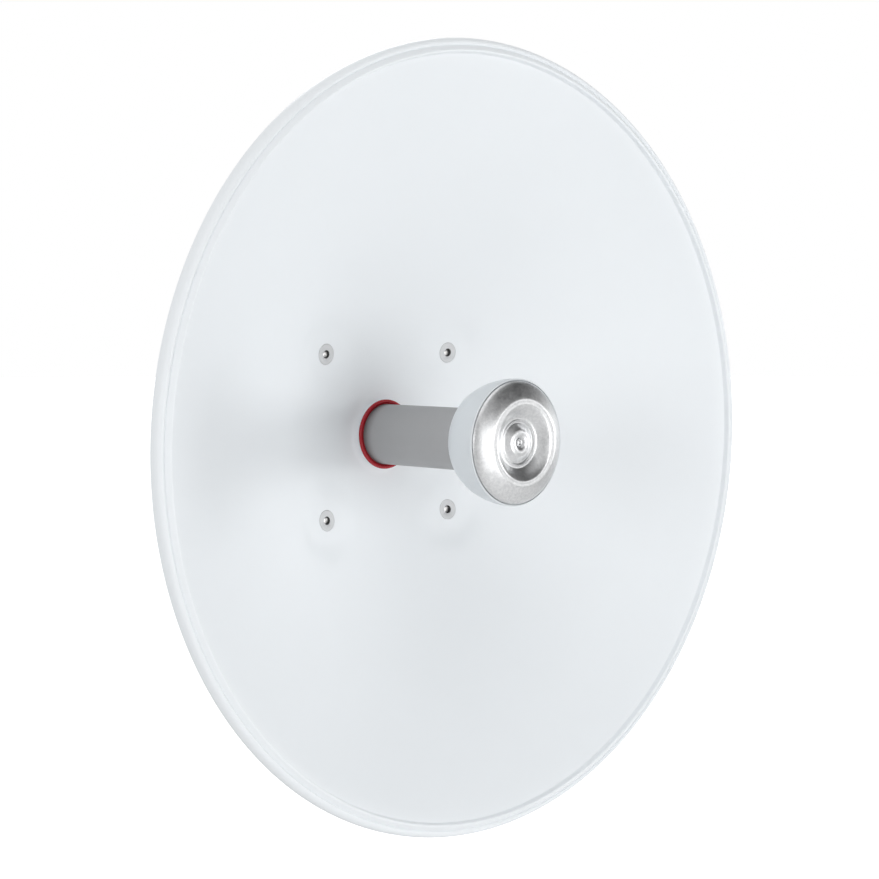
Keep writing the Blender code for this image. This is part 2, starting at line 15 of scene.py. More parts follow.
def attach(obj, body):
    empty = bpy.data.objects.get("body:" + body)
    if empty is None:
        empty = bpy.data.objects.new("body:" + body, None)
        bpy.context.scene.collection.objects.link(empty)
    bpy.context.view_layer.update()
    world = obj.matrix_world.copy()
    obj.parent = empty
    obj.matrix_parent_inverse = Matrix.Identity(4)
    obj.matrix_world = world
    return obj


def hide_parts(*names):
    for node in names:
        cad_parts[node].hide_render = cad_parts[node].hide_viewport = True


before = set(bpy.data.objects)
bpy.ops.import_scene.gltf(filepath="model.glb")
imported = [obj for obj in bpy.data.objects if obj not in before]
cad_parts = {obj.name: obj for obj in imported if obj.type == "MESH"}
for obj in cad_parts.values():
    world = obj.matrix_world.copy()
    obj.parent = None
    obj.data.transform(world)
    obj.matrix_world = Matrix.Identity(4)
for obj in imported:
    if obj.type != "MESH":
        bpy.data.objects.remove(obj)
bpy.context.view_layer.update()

# Dish and feed
VERTEX_TO_POLE_FACE = 0.140
PARABOLA = 4 * 0.1805
SHEET = 0.002
RIM_RADIUS = 0.325
RIM_HEIGHT = 0.1276
NECK_RADIUS = 0.0272
NECK_OUTER = 0.0287
NECK_HEIGHT = 0.0072
NECK_FOOT = 0.038
TUBE_RADIUS = 0.026
TUBE_LOW = -0.0235
TUBE_HIGH = 0.1237
CUP_RADIUS = 0.0516
CUP_EDGE = 0.168
CUP_REAR = 0.124
LIP_WIDTH = 0.0014

# Screws of the dish, and the inserts that they hold
SCREW_SPACING = 0.070
SEAT_FRONT = 0.0136
SEAT_BACK = 0.0090
SEAT_FLAT = 0.0101
SEAT_BLEND = 0.040
SEAT_LEAN = 0.137
RECESS_RADIUS = 0.0090
RECESS_FLOOR = 0.0124
INSERT_TOP = 0.0138
INSERT_FLANGE_RADIUS = 0.0089
INSERT_BARREL_RADIUS = 0.0054
BORE_RADIUS = 0.00315

# M8 hardware
THREAD_RADIUS = 0.00395
THREAD_ROOT = 0.00325
PITCH = 0.00125
ACROSS_FLATS = 0.013
FLANGE_RADIUS = 0.0085
HOLE_RADIUS = 0.0045

# Hub, housing and bracket
HUB_FRONT = -0.0025
HUB_BACK = -0.0075
HOUSING_TOP = -0.0078
PLATE = 0.0035
SIDE_PLATE_X = 0.052
SIDE_FOOT_X = 0.086
SIDE_FOOT_Y = -0.1322
SIDE_HALF_HEIGHT = 0.080
PIVOT = (-0.050, -0.042)
LOCK = (-0.050, 0.038)
LOCK_RADIUS = 0.080
TILT = 20.0
CHANNEL_X = 0.0517
CHANNEL_HALF_HEIGHT = 0.078
WEB = 0.004
CLAMP_X = 0.038
CLAMP_Z = 0.058
JAW_BACK = 0.0655
JAW_HALF_WIDTH = 0.058
JAW_HALF_HEIGHT = 0.017
POLE_RADIUS = 0.025

AXES = {
    "front": ((1, 0, 0), (0, 0, 1), (0, -1, 0)),
    "back": ((-1, 0, 0), (0, 0, 1), (0, 1, 0)),
    "right": ((0, 1, 0), (0, 0, 1), (1, 0, 0)),
    "left": ((0, -1, 0), (0, 0, 1), (-1, 0, 0)),
    "down": ((1, 0, 0), (0, -1, 0), (0, 0, -1)),
}


# Shader expressions


class Signal:
    """One shader socket in an expression. Each operator adds the Math node that works it out."""

    def __init__(self, graph, socket):
        self.graph = graph
        self.socket = socket

    def math(self, operation, *values):
        return self.graph.node("Math", {"operation": operation}, dict(enumerate((self, *values))))

    def __add__(self, other):
        return self.math("ADD", other)

    def __radd__(self, other):
        return self.math("ADD", other)

    def __sub__(self, other):
        return self.math("SUBTRACT", other)

    def __rsub__(self, other):
        return self.graph.node("Math", {"operation": "SUBTRACT"}, {0: other, 1: self})

    def __mul__(self, other):
        return self.math("MULTIPLY", other)

    def __rmul__(self, other):
        return self.math("MULTIPLY", other)

    def __truediv__(self, other):
        return self.math("DIVIDE", other)

    def __pow__(self, other):
        return self.math("POWER", other)

    def step(self, low, high):
        """Rises smoothly from 0 to 1 as the value goes from low to high."""
        return self.graph.node(
            "MapRange",
            {"interpolation_type": "SMOOTHSTEP"},
            {"Value": self, "From Min": low, "From Max": high},
        )


class Graph:
    """A node tree that is written as expressions."""

    def __init__(self, tree):
        self.tree = tree

    def node(self, kind, settings=None, sockets=None, output=0):
        """Adds a node, sets it up, then fills or links its sockets, and gives one of its outputs."""
        made = self.tree.nodes.new("ShaderNode" + kind)
        for key, value in (settings or {}).items():
            if key == "stops":
                ramp = made.color_ramp.elements
                while len(ramp) < len(value):
                    ramp.new(0.5)
                for stop, (position, colour) in zip(ramp, value):
                    stop.position = position
                    stop.color = (*colour, 1)
            else:
                setattr(made, key, value)
        for key, value in (sockets or {}).items():
            self.feed(made.inputs[key], value)
        return Signal(self, made.outputs[output])

    def feed(self, socket, value):
        if isinstance(value, Signal):
            self.tree.links.new(value.socket, socket)
        elif socket.type == "RGBA" and len(value) == 3:
            socket.default_value = (*value, 1)
        else:
            socket.default_value = value

    def mix(self, share, first, second):
        """Colour that goes from the first to the second as share goes from 0 to 1."""
        return self.node("Mix", {"data_type": "RGBA"}, {0: share, 6: first, 7: second}, 2)

    def noise(self, place, size, detail=2.0, roughness=0.5, distortion=0.0):
        """Soft noise whose blobs are about size metres across."""
        return self.node("TexNoise", {}, {
            "Vector": place, "Scale": 1 / size, "Detail": detail,
            "Roughness": roughness, "Distortion": distortion,
        })

    def cells(self, place, size, output=0):
        """Cells about size metres across: the distance to their middle, or 1 for a colour of their own."""
        return self.node("TexVoronoi", {}, {"Vector": place, "Scale": 1 / size}, output)

    def stretched(self, place, scale):
        """The same place with each axis multiplied, which draws a pattern out along the small ones."""
        return self.node("VectorMath", {"operation": "MULTIPLY"}, {0: place, 1: scale})

    def axis(self, place, index):
        return self.node("SeparateXYZ", {}, {0: place}, index)


class Finish(Graph):
    """A surface finish: a Principled shader whose sockets take constants or expressions."""

    def __init__(self, name, **constants):
        self.material = bpy.data.materials.new(name)
        self.material.use_nodes = True
        super().__init__(self.material.node_tree)
        self.shader = self.tree.nodes["Principled BSDF"]
        self.set(**constants)
        self.place = self.node("TexCoord", {}, {}, 3)

    def set(self, **values):
        for key, value in values.items():
            self.feed(self.shader.inputs[key.replace("_", " ")], value)

    def bump(self, height, depth, strength=1.0):
        """Relief of the given depth in metres."""
        self.set(Normal=self.node("Bump", {}, {"Strength": strength, "Distance": depth, "Height": height}))


def powder_coat():
    """White polyester powder coat: satin, with a shallow orange peel and a faint cool blue cast in its tone."""
    coat = Finish("white_powder_coat", IOR=1.5)
    peel = coat.noise(coat.place, 0.0024, 1.5, 0.4)
    grain = coat.noise(coat.place, 0.0006, 1.0)
    broad = coat.noise(coat.place, 0.11, 3.0)
    coat.set(
        Base_Color=coat.mix(broad, (0.805, 0.836, 0.860), (0.825, 0.856, 0.880)),
        Roughness=0.40 + 0.07 * peel + 0.05 * broad,
    )
    coat.bump(0.75 * peel + 0.25 * grain, 0.00005, 0.5)
    return coat.material


def red_rubber():
    """Moulded silicone rubber: glossy, with a cloudy tone and fine specks that vary its sheen and relief."""
    rubber = Finish("red_rubber", IOR=1.42)
    cloud = rubber.noise(rubber.place, 0.012, 3.0)
    speck = rubber.noise(rubber.place, 0.0007, 2.0)
    rubber.set(
        Base_Color=rubber.mix(cloud, (0.34, 0.010, 0.018), (0.41, 0.014, 0.024)),
        Roughness=0.15 + 0.08 * cloud + 0.06 * speck,
    )
    rubber.bump(speck, 0.00003, 0.5)
    return rubber.material


def grey_tube():
    """Extruded grey plastic: fine grain and faint die lines along the tube, with painted shade that darkens it just
    above the rubber bead.
    """
    tube = Finish("grey_plastic", IOR=1.5)
    lines = tube.noise(tube.stretched(tube.place, (1, 0.02, 1)), 0.0012, 2.0)
    grain = tube.noise(tube.place, 0.0005, 2.0)
    cloud = tube.noise(tube.place, 0.03, 3.0)
    # Painted shade: the colour darkens towards the rubber bead in place of the shade the bead casts on the tube; a
    # cloud varies how deep it goes.
    painted_bead_shade = tube.axis(tube.place, 1).step(-VERTEX_TO_POLE_FACE - 0.022, -VERTEX_TO_POLE_FACE - 0.010)
    tube.set(
        Base_Color=tube.mix(
            painted_bead_shade * (0.7 + 0.5 * cloud),
            tube.mix(cloud, (0.350, 0.350, 0.356), (0.376, 0.374, 0.378)),
            (0.18, 0.175, 0.175),
        ),
        Roughness=0.48 + 0.10 * grain + 0.08 * lines,
    )
    tube.bump(0.6 * grain + 0.4 * lines, 0.00004, 0.6)
    return tube.material


def pale_plastic():
    """Pale blue-grey moulded plastic with a very fine spark-eroded texture."""
    plastic = Finish("pale_plastic", IOR=1.5, Subsurface_Weight=0.0)
    grain = plastic.noise(plastic.place, 0.0005, 2.0)
    flow = plastic.noise(plastic.stretched(plastic.place, (1, 0.35, 1)), 0.02, 3.0, 0.5, 0.8)
    plastic.set(
        Base_Color=plastic.mix(flow, (0.640, 0.672, 0.695), (0.675, 0.705, 0.725)),
        Roughness=0.28 + 0.10 * grain + 0.06 * flow,
    )
    plastic.bump(grain, 0.00003, 0.5)
    return plastic.material


def satin_metal():
    """Pressed and tumbled sheet: satin, with drawing rings from the press and a mottled, cloudy sheen."""
    metal = Finish("satin_metal", Metallic=1.0)
    across = metal.axis(metal.place, 0)
    up = metal.axis(metal.place, 2)
    radius = (across * across + up * up) ** 0.5
    mottle = metal.noise(metal.place, 0.0045, 4.0, 0.6, 0.4)
    cloud = metal.noise(metal.place, 0.018, 3.0, 0.5, 0.6)
    fleck = metal.noise(metal.place, 0.0022, 3.0, 0.7).step(0.3, 0.7)
    ring = metal.node("CombineXYZ", {}, {0: radius, 1: 0.15 * across, 2: 0.15 * up})
    rings = metal.noise(ring, 0.0007, 2.0)
    peel = metal.noise(metal.stretched(metal.place, (1, 1, 0.6)), 0.0010, 2.0)
    metal.set(
        Base_Color=metal.mix(0.5 * mottle + 0.5 * fleck, (0.56, 0.57, 0.58), (0.80, 0.805, 0.81)),
        Roughness=0.23 + 0.12 * mottle + 0.06 * cloud + 0.05 * fleck,
    )
    metal.bump(0.25 * mottle + 0.15 * rings + 0.6 * peel, 0.00022, 0.5)
    return metal.material


def zinc_plate():
    """Dull bright-zinc plating, blasted matt and a little darker in spots, with the threaded bore painted near black as
    painted shade for the deep hole.
    """
    zinc = Finish("zinc_plate", Metallic=0.3)
    cloud = zinc.noise(zinc.place, 0.004, 3.0)
    grain = zinc.noise(zinc.place, 0.0005, 2.0)
    across = zinc.axis(zinc.place, 0).math("ABSOLUTE") - SCREW_SPACING
    up = zinc.axis(zinc.place, 2).math("ABSOLUTE") - SCREW_SPACING
    # Painted shade: within the bore's radius round each screw the colour is near black, in place of the shade inside
    # the deep threaded hole.
    outside_painted_bore_shade = ((across * across + up * up) ** 0.5).step(0.0033, 0.0037)
    zinc.set(
        Base_Color=zinc.mix(outside_painted_bore_shade, (0.05, 0.05, 0.05), zinc.mix(cloud, (0.56, 0.57, 0.58), (0.62, 0.63, 0.64))),
        Roughness=0.46 + 0.14 * grain,
    )
    zinc.bump(grain, 0.00003, 0.6)
    return zinc.material


def stainless(name="stainless_steel", tone=(0.60, 0.60, 0.59)):
    """Rolled and formed stainless fasteners: bright, with short drawn marks and dull patches."""
    steel = Finish(name, Metallic=1.0)
    cloud = steel.noise(steel.place, 0.006, 3.0)
    marks = steel.noise(steel.stretched(steel.place, (1, 1, 0.15)), 0.0006, 2.0)
    light = tuple(min(1.0, c * 1.14) for c in tone)
    steel.set(
        Base_Color=steel.mix(cloud, tone, light),
        Roughness=0.20 + 0.12 * cloud + 0.10 * marks,
    )
    steel.bump(marks, 0.00002, 0.5)
    return steel.material


def galvanised():
    """Hot-dip galvanised sheet: dull grey crystals of 5 to 12 mm, each its own tone, under a cloudy bloom."""
    skin = Finish("galvanised_steel", Metallic=0.9)
    bent = skin.noise(skin.place, 0.006, 2.0)
    warped = skin.node("VectorMath", {"operation": "ADD"}, {
        0: skin.place,
        1: skin.stretched(skin.node("TexNoise", {}, {"Vector": skin.place, "Scale": 160.0}, 1), (0.004,) * 3),
    })
    tone = skin.axis(skin.cells(warped, 0.009, 1), 0)
    small = skin.axis(skin.cells(warped, 0.0035, 1), 1)
    bloom = skin.noise(skin.place, 0.05, 4.0, 0.6)
    grain = skin.noise(skin.place, 0.0006, 2.0)
    share = 0.5 * tone + 0.2 * small + 0.3 * bloom
    skin.set(
        Base_Color=skin.mix(share, (0.44, 0.46, 0.475), (0.64, 0.66, 0.67)),
        Roughness=0.34 + 0.16 * share + 0.10 * grain,
    )
    skin.bump(0.5 * bent + 0.3 * grain + 0.2 * tone, 0.00008, 0.5)
    return skin.material


def grey_casting():
    """Sand-textured aluminium casting under light grey paint."""
    cast = Finish("grey_casting", IOR=1.5, Metallic=0.15)
    sand = cast.noise(cast.place, 0.0011, 3.0, 0.6)
    lumps = cast.noise(cast.place, 0.007, 2.0)
    cloud = cast.noise(cast.place, 0.04, 3.0)
    cast.set(
        Base_Color=cast.mix(cloud, (0.46, 0.47, 0.48), (0.54, 0.55, 0.56)),
        Roughness=0.48 + 0.14 * sand,
    )
    cast.bump(0.7 * sand + 0.3 * lumps, 0.00022, 0.5)
    return cast.material


def port_insulator():
    """White fluoroplastic bead inside a coaxial port."""
    bead = Finish("port_insulator", IOR=1.38)
    grain = bead.noise(bead.place, 0.001, 2.0)
    bead.set(
        Base_Color=bead.mix(grain, (0.80, 0.80, 0.78), (0.86, 0.86, 0.84)),
        Roughness=0.42 + 0.1 * grain,
    )
    return bead.material


def gold_contact():
    """Thin gold plating on a port's centre contact."""
    gold = Finish("gold_contact", Metallic=1.0)
    cloud = gold.noise(gold.place, 0.0008, 2.0)
    gold.set(
        Base_Color=gold.mix(cloud, (0.83, 0.60, 0.24), (0.92, 0.70, 0.32)),
        Roughness=0.2 + 0.12 * cloud,
    )
    return gold.material


# Surfaces


def rounded(corners, closed=False, steps=5):
    """Outline through (a, b, radius) corners, where a corner with a radius becomes the arc that touches both of
    its edges. A point just past each end of an arc keeps the straight runs straight under smooth shading."""
    spots = np.array([corner[:2] for corner in corners], float)
    outline = []
    for index, corner in enumerate(corners):
        radius = corner[2] if len(corner) > 2 else 0.0
        if not radius or (not closed and index in (0, len(corners) - 1)):
            outline.append(spots[index][None])
            continue
        before = spots[index - 1] - spots[index]
        after = spots[(index + 1) % len(corners)] - spots[index]
        reach = min(np.linalg.norm(before), np.linalg.norm(after))
        before /= np.linalg.norm(before)
        after /= np.linalg.norm(after)
        half = math.acos(np.clip(before @ after, -1, 1)) / 2
        length = min(radius / math.tan(half), 0.47 * reach)
        radius = length * math.tan(half)
        middle = (before + after) / np.linalg.norm(before + after)
        centre = spots[index] + middle * radius / math.sin(half)
        start = spots[index] + before * length - centre
        end = spots[index] + after * length - centre
        share = np.linspace(0, 1, steps + 1)[:, None]
        sweep = math.pi - 2 * half
        arc = centre + (np.sin((1 - share) * sweep) * start + np.sin(share * sweep) * end) / math.sin(sweep)
        guard = min(0.00012, 0.02 * reach)
        outline += [(arc[0] + before * guard)[None], arc, (arc[-1] + after * guard)[None]]
    return np.concatenate(outline)


def circle(centre, radius, count=48, start=0.0, end=360.0):
    """Points round a centre: the centre plus the radius times the cosine and sine of each angle in degrees."""
    turn = np.radians(np.linspace(start, end, count, endpoint=end - start < 360))
    return np.stack([centre[0] + radius * np.cos(turn), centre[1] + radius * np.sin(turn)], axis=-1)


def spline(knots, count):
    """Smooth curve through (a, b) knots: a cubic between each pair, with the slope at a knot that of the chord
    between its two neighbours."""
    knots = np.array(knots, float)
    slopes = np.gradient(knots, axis=0)
    place = np.linspace(0, len(knots) - 1, count)
    low = np.minimum(place.astype(int), len(knots) - 2)
    share = (place - low)[:, None]
    square, cube = share ** 2, share ** 3
    return (
        (2 * cube - 3 * square + 1) * knots[low]
        + (cube - 2 * square + share) * slopes[low]
        + (3 * square - 2 * cube) * knots[low + 1]
        + (cube - square) * slopes[low + 1]
    )


def smooth(low, high, value):
    """Rises from 0 at low to 1 at high with no corner at either end."""
    share = np.clip((value - low) / (high - low), 0, 1)
    return share * share * share * (share * (6 * share - 15) + 10)


def angles(sides):
    return np.linspace(0, 2 * math.pi, sides, endpoint=False)


def hexagon(sides, across_flats=ACROSS_FLATS):
    """Radius of a hexagon at each angle: half its width over the cosine of the angle from the nearest flat."""
    off = (angles(sides) + math.pi / 6) % (math.pi / 3) - math.pi / 6
    return across_flats / 2 / np.cos(off)


def thread(heights, sides, outer=THREAD_RADIUS, root=THREAD_ROOT, pitch=PITCH):
    """Radius of a screw thread: a flattened triangle wave of the height over the pitch, less the share of a
    turn made so far."""
    phase = (heights[:, None] / pitch - angles(sides)[None] / (2 * math.pi)) % 1.0
    wave = np.clip(1.25 * (1 - np.abs(2 * phase - 1)) - 0.1, 0, 1)
    return root + (outer - root) * wave


def spun(heights, radii, direction="front", centre=(0.0, 0.0), sides=96, closed=False):
    """Surface of revolution, or nearly so: at angle t and step k it lies at radius r(k, t) from the axis and at
    height h(k) along it. The axis passes through centre, given in the plane across it."""
    heights = np.asarray(heights, float)
    radii = np.asarray(radii, float)
    if radii.ndim == 1:
        radii = np.repeat(radii[:, None], sides, axis=1)
    turn = angles(radii.shape[1])
    local = np.stack([radii * np.cos(turn), radii * np.sin(turn), heights[:, None] + 0 * radii], axis=-1)
    return surface(placed(local, direction, centre), closed)


def placed(local, direction, centre=(0.0, 0.0)):
    """Local points carried into the part's frame. Heights that face front count from the dish's vertex."""
    axes = np.array(AXES[direction], float)
    origin = {
        "front": (centre[0], -VERTEX_TO_POLE_FACE, centre[1]),
        "back": (centre[0], 0, centre[1]),
        "right": (0, centre[0], centre[1]),
        "left": (0, centre[0], centre[1]),
        "down": (centre[0], centre[1], 0),
    }[direction]
    return np.asarray(local) @ axes + np.array(origin)


def surface(points, closed=False):
    """Points and outward quads of a grid whose columns wrap round, and whose rows do too if it is closed."""
    rows, columns = points.shape[:2]
    along = np.arange(rows if closed else rows - 1)[:, None]
    here = along * columns
    there = (along + 1) % rows * columns
    across = np.arange(columns)
    beside = (across + 1) % columns
    quads = np.stack([here + across, here + beside, there + beside, there + across], axis=-1).reshape(-1, 4)
    flat = points.reshape(-1, 3)
    a, b, c, d = (flat[quads[:, k]] - flat.mean(axis=0) for k in range(4))
    volume = np.einsum("ij,ij->", a, np.cross(b, c)) + np.einsum("ij,ij->", a, np.cross(c, d))
    return flat, quads if volume > 0 else quads[:, ::-1]


def turned(profile, direction="front", centre=(0.0, 0.0), sides=96, closed=True):
    """Surface of revolution of a (radius, height) profile."""
    profile = np.asarray(profile)
    return spun(profile[:, 1], profile[:, 0], direction, centre, sides, closed)


def mesh_of(name, *shells):
    """One mesh of several closed surfaces, with the points that meet at a pole merged."""
    mesh = bpy.data.meshes.new(name)
    points = np.concatenate([shell[0] for shell in shells])
    starts = np.cumsum([0] + [len(shell[0]) for shell in shells])
    quads = np.concatenate([shell[1] + start for shell, start in zip(shells, starts)])
    mesh.vertices.add(len(points))
    mesh.vertices.foreach_set("co", points.astype(np.float32).ravel())
    mesh.loops.add(quads.size)
    mesh.loops.foreach_set("vertex_index", quads.astype(np.int32).ravel())
    mesh.polygons.add(len(quads))
    mesh.polygons.foreach_set("loop_start", np.arange(0, quads.size, 4, dtype=np.int32))
    mesh.update(calc_edges=True)
    cage = bmesh.new()
    cage.from_mesh(mesh)
    bmesh.ops.remove_doubles(cage, verts=cage.verts, dist=0.0000002)
    cage.to_mesh(mesh)
    cage.free()
    return mesh


def add(name, mesh, finish, slot, *nodes, sharp=38):
    """Shows a mesh as a piece of the antenna, in a finish, in place of the plain nodes that it stands for."""
    made = bpy.data.objects.new(name, mesh)
    bpy.context.scene.collection.objects.link(made)
    mesh.materials.clear()
    mesh.materials.append(finish)
    mesh.shade_smooth()
    mesh.set_sharp_from_angle(angle=math.radians(sharp))
    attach(made, "root")
    if nodes:
        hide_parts(*nodes)
    return made


def evaluated(obj):
    """The mesh of an object with its modifiers, once the object itself is removed."""
    bpy.context.view_layer.update()
    mesh = bpy.data.meshes.new_from_object(obj.evaluated_get(bpy.context.evaluated_depsgraph_get()))
    bpy.data.objects.remove(obj)
    return mesh


def blank(outline, holes, thickness, edge=0.0004, segments=2):
    """Flat blank in the local XY plane, from z = 0 to its thickness: the filled outline less its holes, with
    every edge eased by a small bevel."""
    curve = bpy.data.curves.new("blank", "CURVE")
    curve.dimensions = "2D"
    curve.fill_mode = "BOTH"
    curve.extrude = thickness / 2
    for ring in (outline, *holes):
        line = curve.splines.new("POLY")
        line.points.add(len(ring) - 1)
        co = np.zeros((len(ring), 4))
        co[:, :2] = ring
        co[:, 3] = 1
        line.points.foreach_set("co", co.ravel())
        line.use_cyclic_u = True
    flat = bpy.data.objects.new("blank", curve)
    bpy.context.scene.collection.objects.link(flat)
    mesh = evaluated(flat)
    cage = bmesh.new()
    cage.from_mesh(mesh)
    bmesh.ops.remove_doubles(cage, verts=cage.verts, dist=0.000002)
    bmesh.ops.translate(cage, verts=cage.verts, vec=(0, 0, thickness / 2))
    cage.to_mesh(mesh)
    cage.free()
    solid = bpy.data.objects.new("blank", mesh)
    bpy.context.scene.collection.objects.link(solid)
    ease = solid.modifiers.new("ease", "BEVEL")
    ease.width = edge
    ease.segments = segments
    ease.limit_method = "ANGLE"
    ease.angle_limit = math.radians(50)
    return evaluated(solid)


def shaped(mesh, carry, cuts=()):
    """Cuts a blank across at each of the local x values given, then carries all its points to new places."""
    cage = bmesh.new()
    cage.from_mesh(mesh)
    for x in cuts:
        parts = cage.verts[:] + cage.edges[:] + cage.faces[:]
        bmesh.ops.bisect_plane(cage, geom=parts, dist=0.000001, plane_co=(x, 0, 0), plane_no=(1, 0, 0))
    cage.to_mesh(mesh)
    cage.free()
    points = np.empty(len(mesh.vertices) * 3)
    mesh.vertices.foreach_get("co", points)
    mesh.vertices.foreach_set("co", carry(points.reshape(-1, 3)).astype(np.float32).ravel())
    mesh.update()
    cage = bmesh.new()
    cage.from_mesh(mesh)
    if cage.calc_volume(signed=True) < 0:
        bmesh.ops.reverse_faces(cage, faces=cage.faces)
    cage.to_mesh(mesh)
    cage.free()
    return mesh


def fold(along, depth, start, length, radius, thickness):
    """Path of a folded sheet. Before start it runs straight; over the next length it turns a quarter round a
    centre one outer radius in from the outer skin; then it runs straight again, across the first run. Gives the
    two coordinates of a point that lies depth in from the outer skin: along the first run, and away from it."""
    share = np.clip((along - start) / length, 0, 1) * math.pi / 2
    inner = radius - depth
    beyond = np.maximum(along - start - length, 0)
    first = np.minimum(along, start) + inner * np.sin(share)
    away = radius - inner * np.cos(share) + beyond
    return first, away


def weighted(obj):
    """Keeps broad faces flat-looking beside their eased edges."""
    step = obj.modifiers.new("flats", "WEIGHTED_NORMAL")
    step.keep_sharp = True
    step.weight = 60
    return obj


# Dish


def dish_profile():
    """Front outline of the sheet as (radius, height): the neck's edge, its fillet, which rises above the
    paraboloid by a power of one less the sine of its angle, the paraboloid h = r^2 / 4f, and the rim with its
    crest and rolled hem."""
    edge = rounded([
        (NECK_RADIUS, 0.0055), (NECK_RADIUS, NECK_HEIGHT, 0.0006),
        (NECK_OUTER, NECK_HEIGHT, 0.0006), (NECK_OUTER, 0.0062),
    ], steps=3)
    lean = np.radians(np.linspace(11, 90, 14))
    radius = NECK_FOOT - (NECK_FOOT - NECK_OUTER) * np.cos(lean)
    rise = NECK_HEIGHT - NECK_OUTER ** 2 / PARABOLA
    fillet = np.stack([radius, radius ** 2 / PARABOLA + rise * (1 - np.sin(lean)) ** 1.2], axis=-1)
    spread = np.concatenate([
        np.linspace(0.0405, 0.071, 10),
        np.linspace(0.0725, 0.126, 40),
        np.linspace(0.130, 0.300, 38),
    ])
    bowl = np.stack([spread, spread ** 2 / PARABOLA], axis=-1)
    foot = RIM_RADIUS - 0.0165
    roll = np.radians(np.linspace(-22, 90, 16))
    hem = np.stack([
        RIM_RADIUS - 0.0046 * (1 - np.sin(roll)),
        RIM_HEIGHT + 0.0088 * np.cos(roll),
    ], axis=-1)
    rim = rounded([
        (0.302, 0.302 ** 2 / PARABOLA),
        (foot, foot ** 2 / PARABOLA),
        (RIM_RADIUS - 0.0128, RIM_HEIGHT + 0.0062, 0.0016),
        (RIM_RADIUS - 0.0118, RIM_HEIGHT + 0.0123, 0.0015),
        (RIM_RADIUS - 0.0064, RIM_HEIGHT + 0.0078, 0.0012),
        tuple(hem[0]),
    ], steps=6)
    return np.concatenate([edge[:-1], fillet, bowl, rim[:-1], hem])


def dish_back():
    """Back outline from the rim to the neck, one sheet behind the front."""
    roll = np.radians(np.linspace(88, -10, 9))
    hem = np.stack([
        RIM_RADIUS - 0.0046 + 0.0026 * np.sin(roll),
        RIM_HEIGHT + 0.0068 * np.cos(roll),
    ], axis=-1)
    spread = np.concatenate([
        np.linspace(0.302, 0.130, 20),
        np.linspace(0.126, 0.072, 28),
        np.linspace(0.068, 0.040, 6),
    ])
    slope = spread / (PARABOLA / 2)
    bowl = np.stack([spread, spread ** 2 / PARABOLA - SHEET * np.sqrt(1 + slope ** 2)], axis=-1)
    rim = rounded([
        tuple(hem[-1]),
        (RIM_RADIUS - 0.0067, RIM_HEIGHT + 0.0052, 0.001),
        (RIM_RADIUS - 0.0105, RIM_HEIGHT + 0.0086, 0.0008),
        (RIM_RADIUS - 0.0108, RIM_HEIGHT + 0.0052, 0.0018),
        (RIM_RADIUS - 0.0165, (RIM_RADIUS - 0.0165) ** 2 / PARABOLA - 0.0025),
        tuple(bowl[0]),
    ], steps=3)
    lean = np.radians(np.linspace(84, 12, 8))
    radius = NECK_FOOT - (NECK_FOOT - NECK_RADIUS) * np.cos(lean)
    rise = NECK_HEIGHT - NECK_OUTER ** 2 / PARABOLA
    neck = np.stack([radius, radius ** 2 / PARABOLA + (rise + SHEET) * (1 - np.sin(lean)) - SHEET], axis=-1)
    return np.concatenate([hem[:-1], rim[:-1], bowl, neck])


def leaning(shell, spot):
    """Surface sheared along the boresight, so that it leans with the sheet at a screw: its height grows by
    SEAT_LEAN times the distance beyond the screw's place, measured outwards from the dish's centre."""
    points, quads = shell
    out = np.array(spot) / np.linalg.norm(spot)
    beyond = (points[:, (0, 2)] - spot) @ out
    return points - np.outer(SEAT_LEAN * beyond, (0, 1, 0)), quads


def reflector(finish):
    """The dish: its profile turned round the boresight, pressed flatter round each screw. Within SEAT_FLAT of a
    screw the sheet is a plane that leans by SEAT_LEAN, and from there it eases back to the turned surface."""
    front = dish_profile()
    back = dish_back()
    sides = 320
    turn = angles(sides)
    profile = np.concatenate([front, back])
    radius = profile[:, 0, None] + 0 * turn
    height = profile[:, 1, None] + 0 * turn
    x = radius * np.cos(turn)
    z = radius * np.sin(turn)
    off = np.hypot(np.abs(x) - SCREW_SPACING, np.abs(z) - SCREW_SPACING)
    pressed = 1 - smooth(SEAT_FLAT, SEAT_BLEND, off)
    beyond = (np.abs(x) + np.abs(z)) / math.sqrt(2) - SCREW_SPACING * math.sqrt(2)
    is_front = (np.arange(len(profile)) < len(front))[:, None]
    level = np.where(is_front, SEAT_FRONT + SEAT_LEAN * beyond, SEAT_BACK)
    height = height + pressed * (level - height)
    mesh = mesh_of("dish", surface(placed(np.stack([x, z, height], axis=-1), "front"), closed=True))
    dish = bpy.data.objects.new("dish", mesh)
    bpy.context.scene.collection.objects.link(dish)
    bit = [(0, -0.002), (0.0057, -0.002), (0.0057, RECESS_FLOOR), (RECESS_RADIUS, RECESS_FLOOR),
           (RECESS_RADIUS, 0.022), (0, 0.022)]
    drill = mesh_of("drill", *(leaning(turned(bit, "front", spot, 64, False), spot) for spot in screw_spots()))
    cutter = bpy.data.objects.new("drill", drill)
    bpy.context.scene.collection.objects.link(cutter)
    cut = dish.modifiers.new("holes", "BOOLEAN")
    cut.object = cutter
    cut.operation = "DIFFERENCE"
    mesh = evaluated(dish)
    bpy.data.objects.remove(cutter)
    return add("dish", mesh, finish, "white_powder_coat", "reflector")


def screw_spots():
    """Places of the dish's four screws, clockwise from the upper left."""
    return [(-SCREW_SPACING, SCREW_SPACING), (SCREW_SPACING, SCREW_SPACING),
            (SCREW_SPACING, -SCREW_SPACING), (-SCREW_SPACING, -SCREW_SPACING)]


